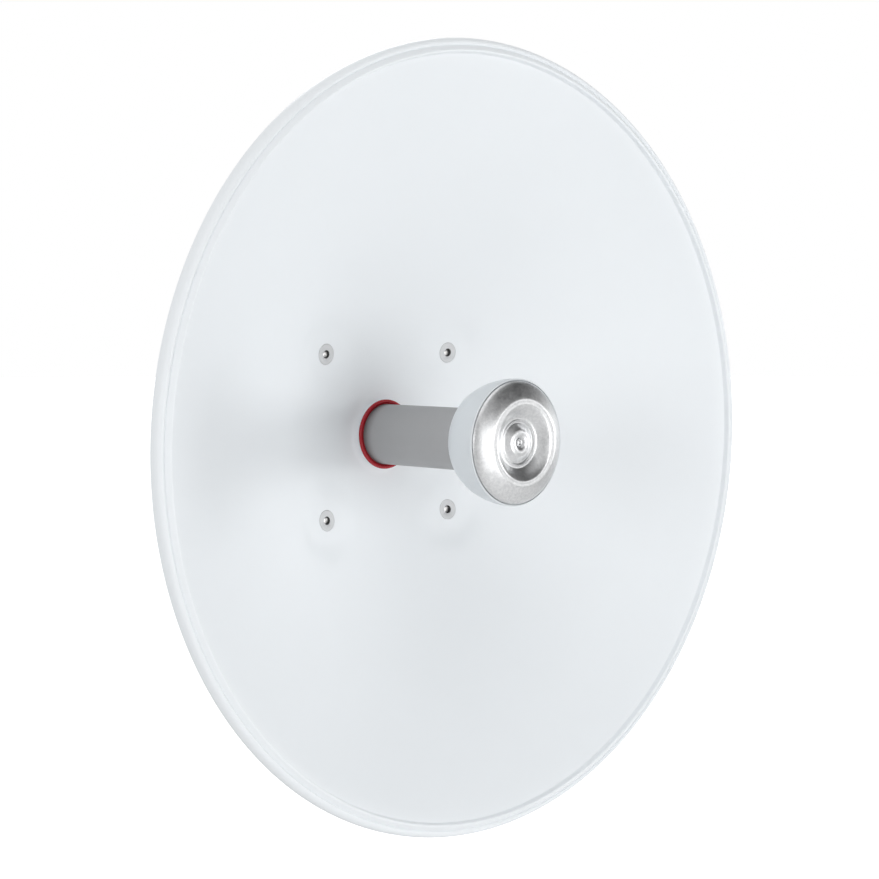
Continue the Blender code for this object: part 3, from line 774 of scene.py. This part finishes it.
def gasket(finish):
    """Rubber bead on the neck: a round bulge, a groove, and a thin sleeve that hugs the tube."""
    profile = np.concatenate([
        circle((0.02855, 0.0093), 0.00165, 26, -75, 165),
        rounded([(0.0269, 0.0093), (0.0269, 0.0104, 0.0002), (0.0263, 0.0104, 0.0002), (0.0263, 0.0077, 0.0003),
                 (0.0285, 0.0077)], steps=3),
    ])
    return add("feed_bead", mesh_of("feed_bead", turned(profile, sides=128)), finish, "red_rubber", "feed_gasket")


def tube(finish):
    """Feed tube with eased ends."""
    profile = rounded([
        (0.023, TUBE_LOW, 0.0004), (TUBE_RADIUS, TUBE_LOW, 0.0006),
        (TUBE_RADIUS, TUBE_HIGH, 0.0003), (0.023, TUBE_HIGH, 0.0003),
    ], closed=True, steps=3)
    mesh = mesh_of("feed_pipe", turned(profile, sides=128))
    return add("feed_pipe", mesh, finish, "grey_plastic", "feed_tube")


def cup(finish):
    """Plastic bowl behind the disc. Its side is a superellipse from the shoulder to the lip: the radius grows by
    a power of the sine and the height by the same power of the cosine."""
    lean = np.radians(np.linspace(0, 90, 30))
    power = 1.077
    side = np.stack([
        0.0316 + (CUP_RADIUS - 0.0316) * np.sin(lean) ** power,
        CUP_EDGE - 0.0006 - 0.0418 * np.cos(lean) ** power,
    ], axis=-1)
    lip_inner = CUP_RADIUS - LIP_WIDTH + 0.0003
    lip = rounded([
        tuple(side[-1]), (CUP_RADIUS, CUP_EDGE + 0.0002, 0.0006),
        (lip_inner, CUP_EDGE + 0.0009, 0.0002), (lip_inner, CUP_EDGE - 0.0014, 0.0002),
        (0.034, CUP_EDGE + 0.006), (0.027, CUP_EDGE + 0.003), (0.016, CUP_EDGE - 0.005),
    ], steps=4)
    rear = rounded([
        (0, CUP_REAR - 0.028), (0.0187, CUP_REAR - 0.028, 0.0008), (0.0227, CUP_REAR - 0.024, 0.0008),
        (0.0227, CUP_REAR, 0.0003), (0.0300, CUP_REAR, 0.0011), tuple(side[0]),
    ], steps=4)
    profile = np.concatenate([rear[:-1], side[:-1], lip, [(0, CUP_EDGE - 0.005)]])
    mesh = mesh_of("feed_cup", turned(profile, sides=160, closed=False))
    return add("feed_cup", mesh, finish, "pale_plastic", "subreflector_body")


def disc(finish):
    """Pressed metal face, a smooth curve through its beads: a domed centre, a groove, a narrow ridge, a bowl,
    a broad crest and a cone out to the edge."""
    beads = np.array([
        (0.0021, 0.0026), (0.0030, 0.0026), (0.0040, 0.0035), (0.0053, 0.0046), (0.0072, 0.0052),
        (0.0090, 0.0052), (0.0108, 0.0047), (0.0122, 0.0038), (0.0136, 0.0028), (0.0150, 0.0018),
        (0.0163, 0.0012), (0.0172, 0.0016), (0.0181, 0.0025), (0.0190, 0.0021), (0.0200, 0.0020),
        (0.0214, 0.0025), (0.0240, 0.0045), (0.0268, 0.0069), (0.0292, 0.0087), (0.0310, 0.00955),
        (0.0328, 0.00955), (0.0347, 0.0096), (0.0364, 0.0092), (0.0400, 0.0076), (0.0450, 0.0050),
        (0.0482, 0.0028), (CUP_RADIUS - 0.0018, 0.0010),
    ])
    front = spline(beads, 170) + (0, CUP_EDGE)
    back = front[::-3] - (0, 0.0012)
    mesh = mesh_of("feed_disc", turned(np.concatenate([front, back]), sides=192))
    return add("feed_disc", mesh, finish, "satin_metal", "subreflector_disc", sharp=60)


def rivet(finish):
    """Drawn rivet in the disc's centre: a domed rim round a dimple."""
    seat = CUP_EDGE + 0.0031
    profile = spline([
        (0.0, seat + 0.0002), (0.0007, seat + 0.0002), (0.0013, seat + 0.0006), (0.0019, seat + 0.0010),
        (0.0026, seat + 0.0008), (0.0031, seat + 0.0001),
    ], 26)
    profile[0, 0] = 0
    shank = np.array([(0.0029, seat - 0.0002), (0.0017, seat - 0.0003), (0.0017, seat - 0.011), (0, seat - 0.011)])
    mesh = mesh_of("feed_rivet", turned(np.concatenate([profile, shank]), sides=64, closed=False))
    return add("feed_rivet", mesh, finish, "satin_metal", "subreflector_rivet", sharp=60)


# Hardware


def insert(number, spot, finish):
    """Threaded insert: a thin flange with an eased edge, a barrel, and a bore whose wall is a real thread."""
    sides = 72
    top = INSERT_TOP
    outer = rounded([
        (BORE_RADIUS + 0.0004, top), (INSERT_FLANGE_RADIUS, top, 0.0005),
        (INSERT_FLANGE_RADIUS, top - 0.0012, 0.0003), (INSERT_BARREL_RADIUS, top - 0.0012, 0.0003),
        (INSERT_BARREL_RADIUS, 0.0093, 0.0003), (BORE_RADIUS + 0.0004, 0.0093),
    ], steps=4)
    heights = np.arange(0.0095, top - 0.0003, PITCH / 8)
    bore = thread(heights, sides, BORE_RADIUS + 0.0003, BORE_RADIUS)
    radii = np.concatenate([np.repeat(outer[:, :1], sides, axis=1), bore])
    shell = spun(np.concatenate([outer[:, 1], heights]), radii, "front", spot, closed=True)
    mesh = mesh_of("i", leaning(shell, spot))
    name = f"insert_{number}"
    return add(name, mesh, finish, "zinc_plate", f"reflector_insert_{number}", sharp=50)


def head_rows(low, high, sides, outer_end_low=True, flange=0.0):
    """Rows of a hexagon head: the hexagon's radius held inside a 30 degree cone at its outer end, with a flange
    at the other end where there is one."""
    heights = np.concatenate([[low], low + (high - low) * np.linspace(0, 1, 22) ** 1.6])
    if not outer_end_low:
        heights = low + high - heights
    depth = heights - low if outer_end_low else high - heights
    cone = 0.94 * ACROSS_FLATS / 2 + depth / math.tan(math.radians(30))
    radii = np.minimum(hexagon(sides)[None], cone[:, None])
    radii[0] = 0
    if flange:
        near = high if outer_end_low else low
        lap = np.abs(heights - near)
        skirt = flange - 0.0004 - np.maximum(lap - 0.0009, 0) * 3.2
        radii = np.where(lap[:, None] < 0.0026, np.maximum(radii, np.maximum(skirt, 0)[:, None]), radii)
    return heights, radii


def bolt(name, node, finish, direction, spot, low, seat, tip, flange=0.0, plain=0.0):
    """Hexagon bolt from its head's outer end at low, through its bearing face at seat, to its tip: head, then
    shank, then thread inside a chamfer cone at the tip."""
    sides = 36
    heights, radii = head_rows(low, seat, sides, True, flange)
    if flange:
        radii[-1] = flange - 0.0003
    shank = np.array([seat, seat + 0.0001, seat + plain])
    run = np.append(np.arange(seat + plain + 0.0002, tip, PITCH / 6), tip)
    wave = thread(run, sides)
    wave = np.minimum(wave, 0.0025 + (tip - run)[:, None] * 1.2)
    rows = [
        (heights, radii),
        (np.array([seat]), np.full((1, sides), flange - 0.0003 if flange else 0.0058)),
        (shank, np.full((3, sides), THREAD_RADIUS)),
        (run, wave),
        (np.array([tip + 0.0001, tip + 0.00015]), np.array([[0.0023], [0.0]]) + np.zeros(sides)),
    ]
    shell = spun(np.concatenate([r[0] for r in rows]), np.concatenate([r[1] for r in rows]), direction, spot)
    return add(name, mesh_of(name, shell), finish, "stainless_steel", node, sharp=32)


def nut(name, node, finish, direction, spot, bearing, height=0.0065):
    """Flanged hexagon nut that bears at the given height and rises from there, with a chamfered bore."""
    sides = 36
    heights, radii = head_rows(bearing, bearing + height, sides, False, FLANGE_RADIUS)
    heights, radii = heights[::-1], radii[::-1]
    radii = radii[:-1]
    heights = heights[:-1]
    radii[0] = FLANGE_RADIUS - 0.0004
    top = bearing + height
    inner = [(0.0048, top), (0.00415, top - 0.0007), (0.00415, bearing + 0.0006), (0.0048, bearing)]
    inner_h = np.array([h for _, h in inner])
    inner_r = np.array([[r] for r, _ in inner]) + np.zeros(sides)
    shell = spun(np.concatenate([heights, inner_h]), np.concatenate([radii, inner_r]), direction, spot,
                 closed=True)
    return add(name, mesh_of(name, shell), finish, "stainless_steel", node, sharp=32)


def washer(number, spot, finish):
    """Flat washer with eased edges, punched so that one face is rounder."""
    top = HUB_BACK - 0.0003 - PLATE - 0.0003
    profile = rounded([
        (0.0044, top, 0.0003), (0.0085, top, 0.0004), (0.0085, top - 0.0016, 0.0001), (0.0044, top - 0.0016, 0.0001),
    ], closed=True, steps=3)
    mesh = mesh_of("w", turned(profile, "front", spot, 64))
    return add(f"washer_{number}", mesh, finish, "stainless_steel", f"reflector_washer_{number}")


def cap_screw(number, finish):
    """Socket cap screw that holds the feed housing's flange: a knurled drum with a hexagon socket."""
    sides = 96
    turn = math.radians(45 + 90 * number)
    spot = (0.0395 * math.cos(turn), 0.0395 * math.sin(turn))
    base = HOUSING_TOP - 0.0050
    knurl = 0.00425 + 0.00007 * np.cos(32 * angles(sides))
    profile = [
        (base + 0.0006, 0), (base + 0.0006, 1), (base - 0.0002, 2), (base - 0.0043, 2),
        (base - 0.0048, 3), (base - 0.0049, 4), (base - 0.0049, 5), (base - 0.0022, 6), (base - 0.0019, 0),
    ]
    socket = hexagon(sides, 0.004)
    kinds = {
        0: np.zeros(sides), 1: np.full(sides, 0.0038), 2: knurl, 3: np.full(sides, 0.0040),
        4: np.full(sides, 0.0037), 5: socket * 1.03, 6: socket,
    }
    shell = spun([h for h, _ in profile], np.array([kinds[k] for _, k in profile]), "front", spot)
    return add(f"housing_screw_{number + 1}", mesh_of("s", shell), finish, "stainless_steel", sharp=30)


# Hub, housing and ports


def hub(finish):
    """Cast square plate behind the dish, with a tapered boss on a broad fillet under each screw."""
    side = 0.085
    outline = rounded([(side, side, 0.014), (-side, side, 0.014), (-side, -side, 0.014), (side, -side, 0.014)],
                      closed=True, steps=12)
    holes = [circle((0, 0), TUBE_RADIUS + 0.0003, 96)] + [circle(spot, HOLE_RADIUS, 40) for spot in screw_spots()]
    thickness = HUB_FRONT - HUB_BACK
    plate = blank(outline, holes, thickness, 0.0011, 3)
    shaped(plate, lambda p: placed(p + (0, 0, HUB_BACK), "front"))
    top = SEAT_BACK - 0.0003
    boss = rounded([
        (HOLE_RADIUS + 0.0001, HUB_FRONT - 0.001), (HOLE_RADIUS + 0.0001, top, 0.0004),
        (0.0090, top, 0.0008), (0.0112, HUB_FRONT + 0.0002, 0.0030), (0.0140, HUB_FRONT - 0.0006),
        (0.0130, HUB_FRONT - 0.001),
    ], steps=6)
    bosses = mesh_of("bosses", *(turned(boss, "front", spot, 48) for spot in screw_spots()))
    cage = bmesh.new()
    cage.from_mesh(plate)
    cage.from_mesh(bosses)
    cage.to_mesh(plate)
    cage.free()
    return weighted(add("hub_casting", plate, finish, "grey_casting", "mounting_hub"))


def housing(finish):
    """Turned housing behind the hub: flange, a drum with two shallow grooves, a bevelled end, and a flat pad
    underneath for the ports."""
    top = HOUSING_TOP
    drum = 0.033
    profile = rounded([
        (0, top - 0.0163), (TUBE_RADIUS + 0.0003, top - 0.0163), (TUBE_RADIUS + 0.0003, top, 0.0005),
        (0.046, top, 0.0004), (0.046, top - 0.005, 0.0009), (drum, top - 0.005, 0.0022),
        (drum, top - 0.0150, 0.0002), (drum - 0.0009, top - 0.0155, 0.0003), (drum - 0.0009, top - 0.0170, 0.0003),
        (drum, top - 0.0175, 0.0002), (drum, top - 0.0515, 0.0002), (drum - 0.0009, top - 0.0520, 0.0003),
        (drum - 0.0009, top - 0.0535, 0.0003), (drum, top - 0.0540, 0.0002),
        (drum, top - 0.056, 0.0010), (drum - 0.004, top - 0.060, 0.0010),
        (0.024, top - 0.060, 0.0004), (0.0235, top - 0.0592, 0.0004), (0, top - 0.0592),
    ], steps=4)
    drum_mesh = mesh_of("drum", turned(profile, sides=128, closed=False))
    near, far = -0.1240, -0.0760
    outline = rounded([(0.0125, near, 0.005), (0.0125, far, 0.005), (-0.0125, far, 0.005), (-0.0125, near, 0.005)],
                      closed=True, steps=8)
    pad = shaped(blank(outline, [], 0.008, 0.0008, 3), lambda p: p + (0, 0, -0.036))
    cage = bmesh.new()
    cage.from_mesh(drum_mesh)
    cage.from_mesh(pad)
    cage.to_mesh(drum_mesh)
    cage.free()
    return weighted(add("housing", drum_mesh, finish, "grey_casting", "feed_housing"))


def port(number, depth, steel, bead, gold):
    """Coaxial port under the housing: hexagon base, threaded barrel, an insulating bead and a split contact."""
    sides = 72
    top = 0.0363
    spot = (0, -VERTEX_TO_POLE_FACE - depth)
    hexa = np.minimum(hexagon(sides, 0.0184), 0.0104)
    rows = [(top, np.zeros(sides)), (top, hexa * 0.985), (top + 0.0002, hexa), (top + 0.0033, hexa),
            (top + 0.0035, hexa * 0.98), (top + 0.0035, np.full(sides, 0.0072)), (top + 0.0049, np.full(sides, 0.0072))]
    run = np.arange(top + 0.0050, top + 0.0143, 0.00106 / 6)
    barrel = thread(run, sides, 0.0079, 0.0072, 0.00106)
    mouth = [(0.0150, 0.0073), (0.0150, 0.0064), (0.0147, 0.0062), (0.0070, 0.0062), (0.0070, 0.0)]
    heights = np.concatenate([[r[0] for r in rows], run, [top + h for h, _ in mouth]])
    radii = np.concatenate([np.array([r[1] for r in rows]), barrel, np.array([[r] for _, r in mouth]) + np.zeros(sides)])
    body = mesh_of("p", spun(heights, radii, "down", spot))
    add(f"port_{number}", body, steel, "stainless_steel", f"feed_port_{number}", sharp=32)
    ring = rounded([
        (0, top + 0.0068), (0.0060, top + 0.0068), (0.0060, top + 0.0100, 0.0003), (0.0035, top + 0.0100, 0.0003),
        (0.0035, top + 0.0085, 0.0003), (0, top + 0.0085),
    ], steps=3)
    add(f"port_bead_{number}", mesh_of("b", turned(ring, "down", spot, 64, False)), bead, "stainless_steel")
    pin = rounded([
        (0, top + 0.0080), (0.0016, top + 0.0080), (0.0016, top + 0.0130, 0.0003), (0.0009, top + 0.0130, 0.0002),
        (0.0009, top + 0.0100), (0, top + 0.0100),
    ], steps=3)
    add(f"port_contact_{number}", mesh_of("c", turned(pin, "down", spot, 32, False)), gold, "stainless_steel")


# Bracket


def side_plate(side, finish):
    """Folded plate, made as its flat blank and bent along one line: the web carries the pivot hole and the tilt
    slot, and the foot is screwed to the hub. The blank's x runs from the foot to the pole, away from the bend."""
    radius = 0.0055
    length = 0.0059
    bend = SIDE_FOOT_Y + radius
    tip = -(length + SIDE_FOOT_X - SIDE_PLATE_X - radius)

    def on_web(y):
        return y - bend

    pivot = (on_web(PIVOT[0]), PIVOT[1])
    height = SIDE_HALF_HEIGHT
    rear = circle(pivot, LOCK_RADIUS, 2, 90 - TILT, 90 - TILT + 1)[0]
    fore = circle(pivot, LOCK_RADIUS, 2, 90 + TILT, 90 + TILT + 1)[0]
    step = on_web(SIDE_FOOT_Y + 0.030)
    lower = rounded([(tip, 0), (tip, -height, 0.006), (step, -height, 0.004), (step + 0.02, -height + 0.008)], steps=6)
    upper = rounded([(step + 0.012, height * 0.7), (step, height, 0.004), (tip, height, 0.006), (tip, 0)], steps=6)
    outline = np.concatenate([
        lower[:-1],
        circle(pivot, 0.018, 22, -100, -5),
        circle(rear, 0.012, 16, -30, 90 - TILT),
        circle(pivot, 0.092, 12, 90 - TILT + 2, 90 + TILT - 2),
        circle(fore, 0.012, 8, 90 + TILT, 90 + TILT + 25),
        upper[1:-1],
    ])
    slot = np.concatenate([
        circle(pivot, LOCK_RADIUS + HOLE_RADIUS, 24, 90 - TILT, 90 + TILT),
        circle(fore, HOLE_RADIUS, 12, 90 + TILT + 12, 270 + TILT - 12),
        circle(pivot, LOCK_RADIUS - HOLE_RADIUS, 24, 90 + TILT, 90 - TILT),
        circle(rear, HOLE_RADIUS, 12, 270 - TILT + 12, 450 - TILT - 12),
    ])
    foot = -(length + SCREW_SPACING - SIDE_PLATE_X - radius)
    holes = [slot, circle(pivot, HOLE_RADIUS, 36)]
    holes += [circle((foot, z), HOLE_RADIUS, 36) for z in (SCREW_SPACING, -SCREW_SPACING)]
    mesh = blank(outline, holes, PLATE)

    def carry(points):
        along, away = fold(-points[:, 0], points[:, 2], 0.0, length, radius, PLATE)
        return np.stack([side * (SIDE_PLATE_X + away), bend - along, points[:, 1]], axis=-1)

    mesh = shaped(mesh, carry, np.linspace(-length, 0, 8))
    name = "right" if side > 0 else "left"
    return weighted(add(f"tilt_plate_{name}", mesh, finish, "galvanised_steel", f"side_plate_{name}"))


def channel(finish):
    """Folded channel between the side plates: a web that bears on the pole and two cheeks. The blank is cut to
    one outline and bent along two lines, so it is mirrored about its middle."""
    radius = 0.006
    length = 0.0066
    bend = CHANNEL_X - radius
    half = CHANNEL_HALF_HEIGHT

    def on_cheek(y):
        return bend + length - y - radius

    lock = (on_cheek(LOCK[0]), LOCK[1])
    pivot = (on_cheek(PIVOT[0]), PIVOT[1])
    root = on_cheek(-0.020)
    right = np.concatenate([
        rounded([(0, -half), (root, -half, 0.003), (root + 0.02, -half + 0.016)], steps=5)[1:-1],
        circle(pivot, 0.016, 20, -80, 0),
        circle(lock, 0.016, 20, 0, 80),
        rounded([(root + 0.02, half - 0.014), (root, half - 0.004, 0.003), (bend - 0.001, half - 0.004, 0.0015),
                 (bend - 0.004, half, 0.002), (0, half)], steps=5)[1:-1],
    ])
    left = right[::-1] * (-1, 1)
    holes = [circle((s * a, b), HOLE_RADIUS, 36) for s in (1, -1) for a, b in (lock, pivot)]
    holes += [circle((s * CLAMP_X, z), HOLE_RADIUS, 36) for s in (1, -1) for z in (CLAMP_Z, -CLAMP_Z)]
    mesh = blank(np.concatenate([right, left]), holes, WEB)

    def carry(points):
        share = smooth(bend, bend + length, np.abs(points[:, 0]))
        depth = points[:, 2] * (1 - share * (1 - PLATE / WEB))
        across, away = fold(np.abs(points[:, 0]), depth, bend, length, radius, WEB)
        return np.stack([np.sign(points[:, 0]) * across, -away, points[:, 1]], axis=-1)

    cuts = np.linspace(bend, bend + length, 8)
    mesh = shaped(mesh, carry, [0.0, *cuts, *-cuts])
    return weighted(add("pole_channel", mesh, finish, "galvanised_steel", "pole_bracket"))


def jaw_edge():
    """Toothed edge of a jaw's flange as (x, y): teeth on the two slopes of the vee, then its straight ends."""
    apex = POLE_RADIUS + POLE_RADIUS / math.cos(math.radians(30))
    share = np.linspace(1, 0, 13)
    x = 0.033 * share
    y = apex - math.tan(math.radians(30)) * x + 0.0018 * (np.arange(13) % 2)
    flank = np.stack([x, y], axis=-1)
    outer = [(JAW_HALF_WIDTH, JAW_BACK - 0.006, 0.002), (0.046, 0.038, 0.003)]
    corners = outer + [(a, b, 0.00035) for a, b in flank[:-1]] + [(0, flank[-1][1], 0.0006)]
    corners += [(-a, b, 0.00035) for a, b in flank[-2::-1]]
    corners += [(-0.046, 0.038, 0.003), (-JAW_HALF_WIDTH, JAW_BACK - 0.006, 0.002)]
    return corners


def jaw(name, level, finish):
    """Clamp jaw folded from one blank: a web across the back and two toothed flanges that grip the pole."""
    radius = 0.0055
    length = 0.0059
    bend = JAW_HALF_HEIGHT - radius

    def on_flange(y):
        return bend + length + JAW_BACK - radius - y

    top = [(on_flange(y), x, r) for x, y, r in jaw_edge()]
    bottom = [(-u, x, r) for u, x, r in top[::-1]]
    outline = rounded(top + bottom, closed=True, steps=3)
    holes = [circle((0, x), HOLE_RADIUS, 36) for x in (CLAMP_X, -CLAMP_X)]
    mesh = blank(outline, holes, PLATE, 0.0003)

    def carry(points):
        up, away = fold(np.abs(points[:, 0]), points[:, 2], bend, length, radius, PLATE)
        return np.stack([points[:, 1], JAW_BACK - away, level + np.sign(points[:, 0]) * up], axis=-1)

    cuts = np.linspace(bend, bend + length, 8)
    mesh = shaped(mesh, carry, [0.0, *cuts, *-cuts])
    return weighted(add(f"jaw_{name}", mesh, finish, "galvanised_steel", f"clamp_jaw_{name}"))


# The antenna

white = powder_coat()
red = red_rubber()
grey = grey_tube()
pale = pale_plastic()
satin = satin_metal()
zinc = zinc_plate()
steel = stainless()
dipped = galvanised()
cast = grey_casting()

reflector(white)
gasket(red)
tube(grey)
cup(pale)
disc(satin)
rivet(satin)
for number, spot in enumerate(screw_spots(), 1):
    insert(number, spot, zinc)
    washer(number, spot, steel)
    bolt(f"dish_bolt_{number}", f"reflector_bolt_{number}", steel, "front", spot, -0.0188, -0.0135, 0.0121, plain=0.012)
hub(cast)
housing(cast)
for number in range(4):
    cap_screw(number, steel)
for number, depth in ((1, -0.028), (2, -0.052)):
    port(number, depth, steel, port_insulator(), gold_contact())
for side, name, inward in ((1, "right", "left"), (-1, "left", "right")):
    side_plate(side, dipped)
    for kind, spot in (("pivot", PIVOT), ("lock", LOCK)):
        bolt(f"{kind}_screw_{name}", f"{kind}_bolt_{name}", steel, inward, spot, -0.0611, -0.0558, -0.0374,
             FLANGE_RADIUS, 0.004)
        nut(f"{kind}_hexnut_{name}", f"{kind}_nut_{name}", steel, inward, spot, -0.0479)
channel(dipped)
jaw("upper", CLAMP_Z, dipped)
jaw("lower", -CLAMP_Z, dipped)
for number, spot in enumerate(((-CLAMP_X, CLAMP_Z), (CLAMP_X, CLAMP_Z), (CLAMP_X, -CLAMP_Z), (-CLAMP_X, -CLAMP_Z)), 1):
    bolt(f"clamp_stud_{number}", f"clamp_bolt_{number}", steel, "back", spot, -0.0096, -0.0043, 0.0821)
    nut(f"clamp_hexnut_{number}", f"clamp_nut_{number}", steel, "back", spot, 0.0658)


# Studio


def floor(glow):
    """Plain pale floor, well below the antenna, which hangs at its pole's height."""
    mesh = bpy.data.meshes.new("studio_floor")
    ring = circle((0, 0), 40.0, 96)
    mesh.from_pydata([(a, b, -1.1) for a, b in ring], [], [list(range(len(ring)))])
    made = bpy.data.objects.new("studio_floor", mesh)
    bpy.context.scene.collection.objects.link(made)
    paper = Finish("studio_paper", Roughness=0.95, Emission_Strength=1.0)
    tone = paper.noise(paper.place, 2.5, 2.0)
    seen = paper.node("LightPath", {}, {}, 0)
    paper.set(
        Base_Color=paper.mix(tone, (0.70, 0.70, 0.70), (0.72, 0.72, 0.72)),
        Emission_Color=paper.mix(seen, (glow, glow, glow), (1.0, 1.0, 1.0)),
    )
    mesh.materials.append(paper.material)


def studio_world(base, seen, *patches):
    """Even light all round, with softly edged patches: a gain above zero is added, and one below zero takes
    that share of the light away. The camera sees one plain tone behind the antenna."""
    world = bpy.data.worlds.new("studio")
    world.use_nodes = True
    bpy.context.scene.world = world
    sky = Graph(world.node_tree)
    direction = sky.node("TexCoord", {}, {}, 0)
    light = base
    for azimuth, elevation, inner, outer, gain in patches:
        a, e = math.radians(azimuth), math.radians(elevation)
        middle = (math.sin(a) * math.cos(e), -math.cos(a) * math.cos(e), math.sin(e))
        nearness = sky.node("VectorMath", {"operation": "DOT_PRODUCT"}, {0: direction, 1: middle}, 1)
        inside = nearness.step(math.cos(math.radians(outer)), math.cos(math.radians(inner)))
        light = light + gain * inside if gain > 0 else light * (1 + gain * inside)
    camera_ray = sky.node("LightPath", {}, {}, 0)
    light = light + camera_ray * (seen - light)
    back = world.node_tree.nodes["Background"]
    sky.feed(back.inputs["Strength"], light)
    back.inputs["Color"].default_value = (1.0, 1.0, 1.0, 1)


def soft_light(name, azimuth, elevation, distance, size, power, target=(0, -0.25, 0)):
    """Square softbox that faces its target from an azimuth, counted from -Y towards +X, and an elevation."""
    light = bpy.data.lights.new(name, "AREA")
    light.shape = "SQUARE"
    light.size = size
    light.energy = power
    made = bpy.data.objects.new(name, light)
    a, e = math.radians(azimuth), math.radians(elevation)
    away = np.array([math.sin(a) * math.cos(e), -math.cos(a) * math.cos(e), math.sin(e)])
    side = np.cross((0, 0, 1), away)
    side /= np.linalg.norm(side)
    turn = np.array([side, np.cross(away, side), away]).T
    made.matrix_world = Matrix.LocRotScale(np.array(target) + distance * away, Matrix(turn.tolist()), None)
    bpy.context.scene.collection.objects.link(made)


def studio_camera():
    """Long lens from the front left, a little above, as the photograph was taken."""
    data = bpy.data.cameras.new("camera")
    data.sensor_width = 36.0
    data.lens = 75.46
    data.clip_end = 200
    made = bpy.data.objects.new("camera", data)
    right = np.array([0.7292, -0.6843, -0.0007])
    back = np.array([-0.6830, -0.7277, 0.0628])
    back /= np.linalg.norm(back)
    right -= back * (right @ back)
    right /= np.linalg.norm(right)
    turn = np.array([right, np.cross(back, right), back]).T
    made.matrix_world = Matrix.LocRotScale((-1.0579, -1.3447, 0.0957), Matrix(turn.tolist()), None)
    bpy.context.scene.collection.objects.link(made)
    bpy.context.scene.camera = made


floor(0.04)
studio_world(
    0.435, 1.0,
    (80, -12, 25, 60, 0.57),
    (10, -5, 25, 55, 0.62),
    (-40, 75, 20, 55, 0.78),
    (180, 15, 30, 75, 0.35),
    (12, 35, 14, 31, -0.75),
    (45, 41, 16, 34, -0.75),
    (78, 35, 14, 32, -0.75),
)
soft_light("front_softbox", 8, -6, 2.2, 1.2, 15.4)
soft_light("left_softbox", -75, 6, 2.2, 0.75, 8.2)
soft_light("right_softbox", 70, 0, 2.2, 0.55, 6.2)
soft_light("rear_softbox", 150, 38, 2.4, 0.8, 16)
studio_camera()
bpy.context.scene.view_settings.view_transform = "Standard"
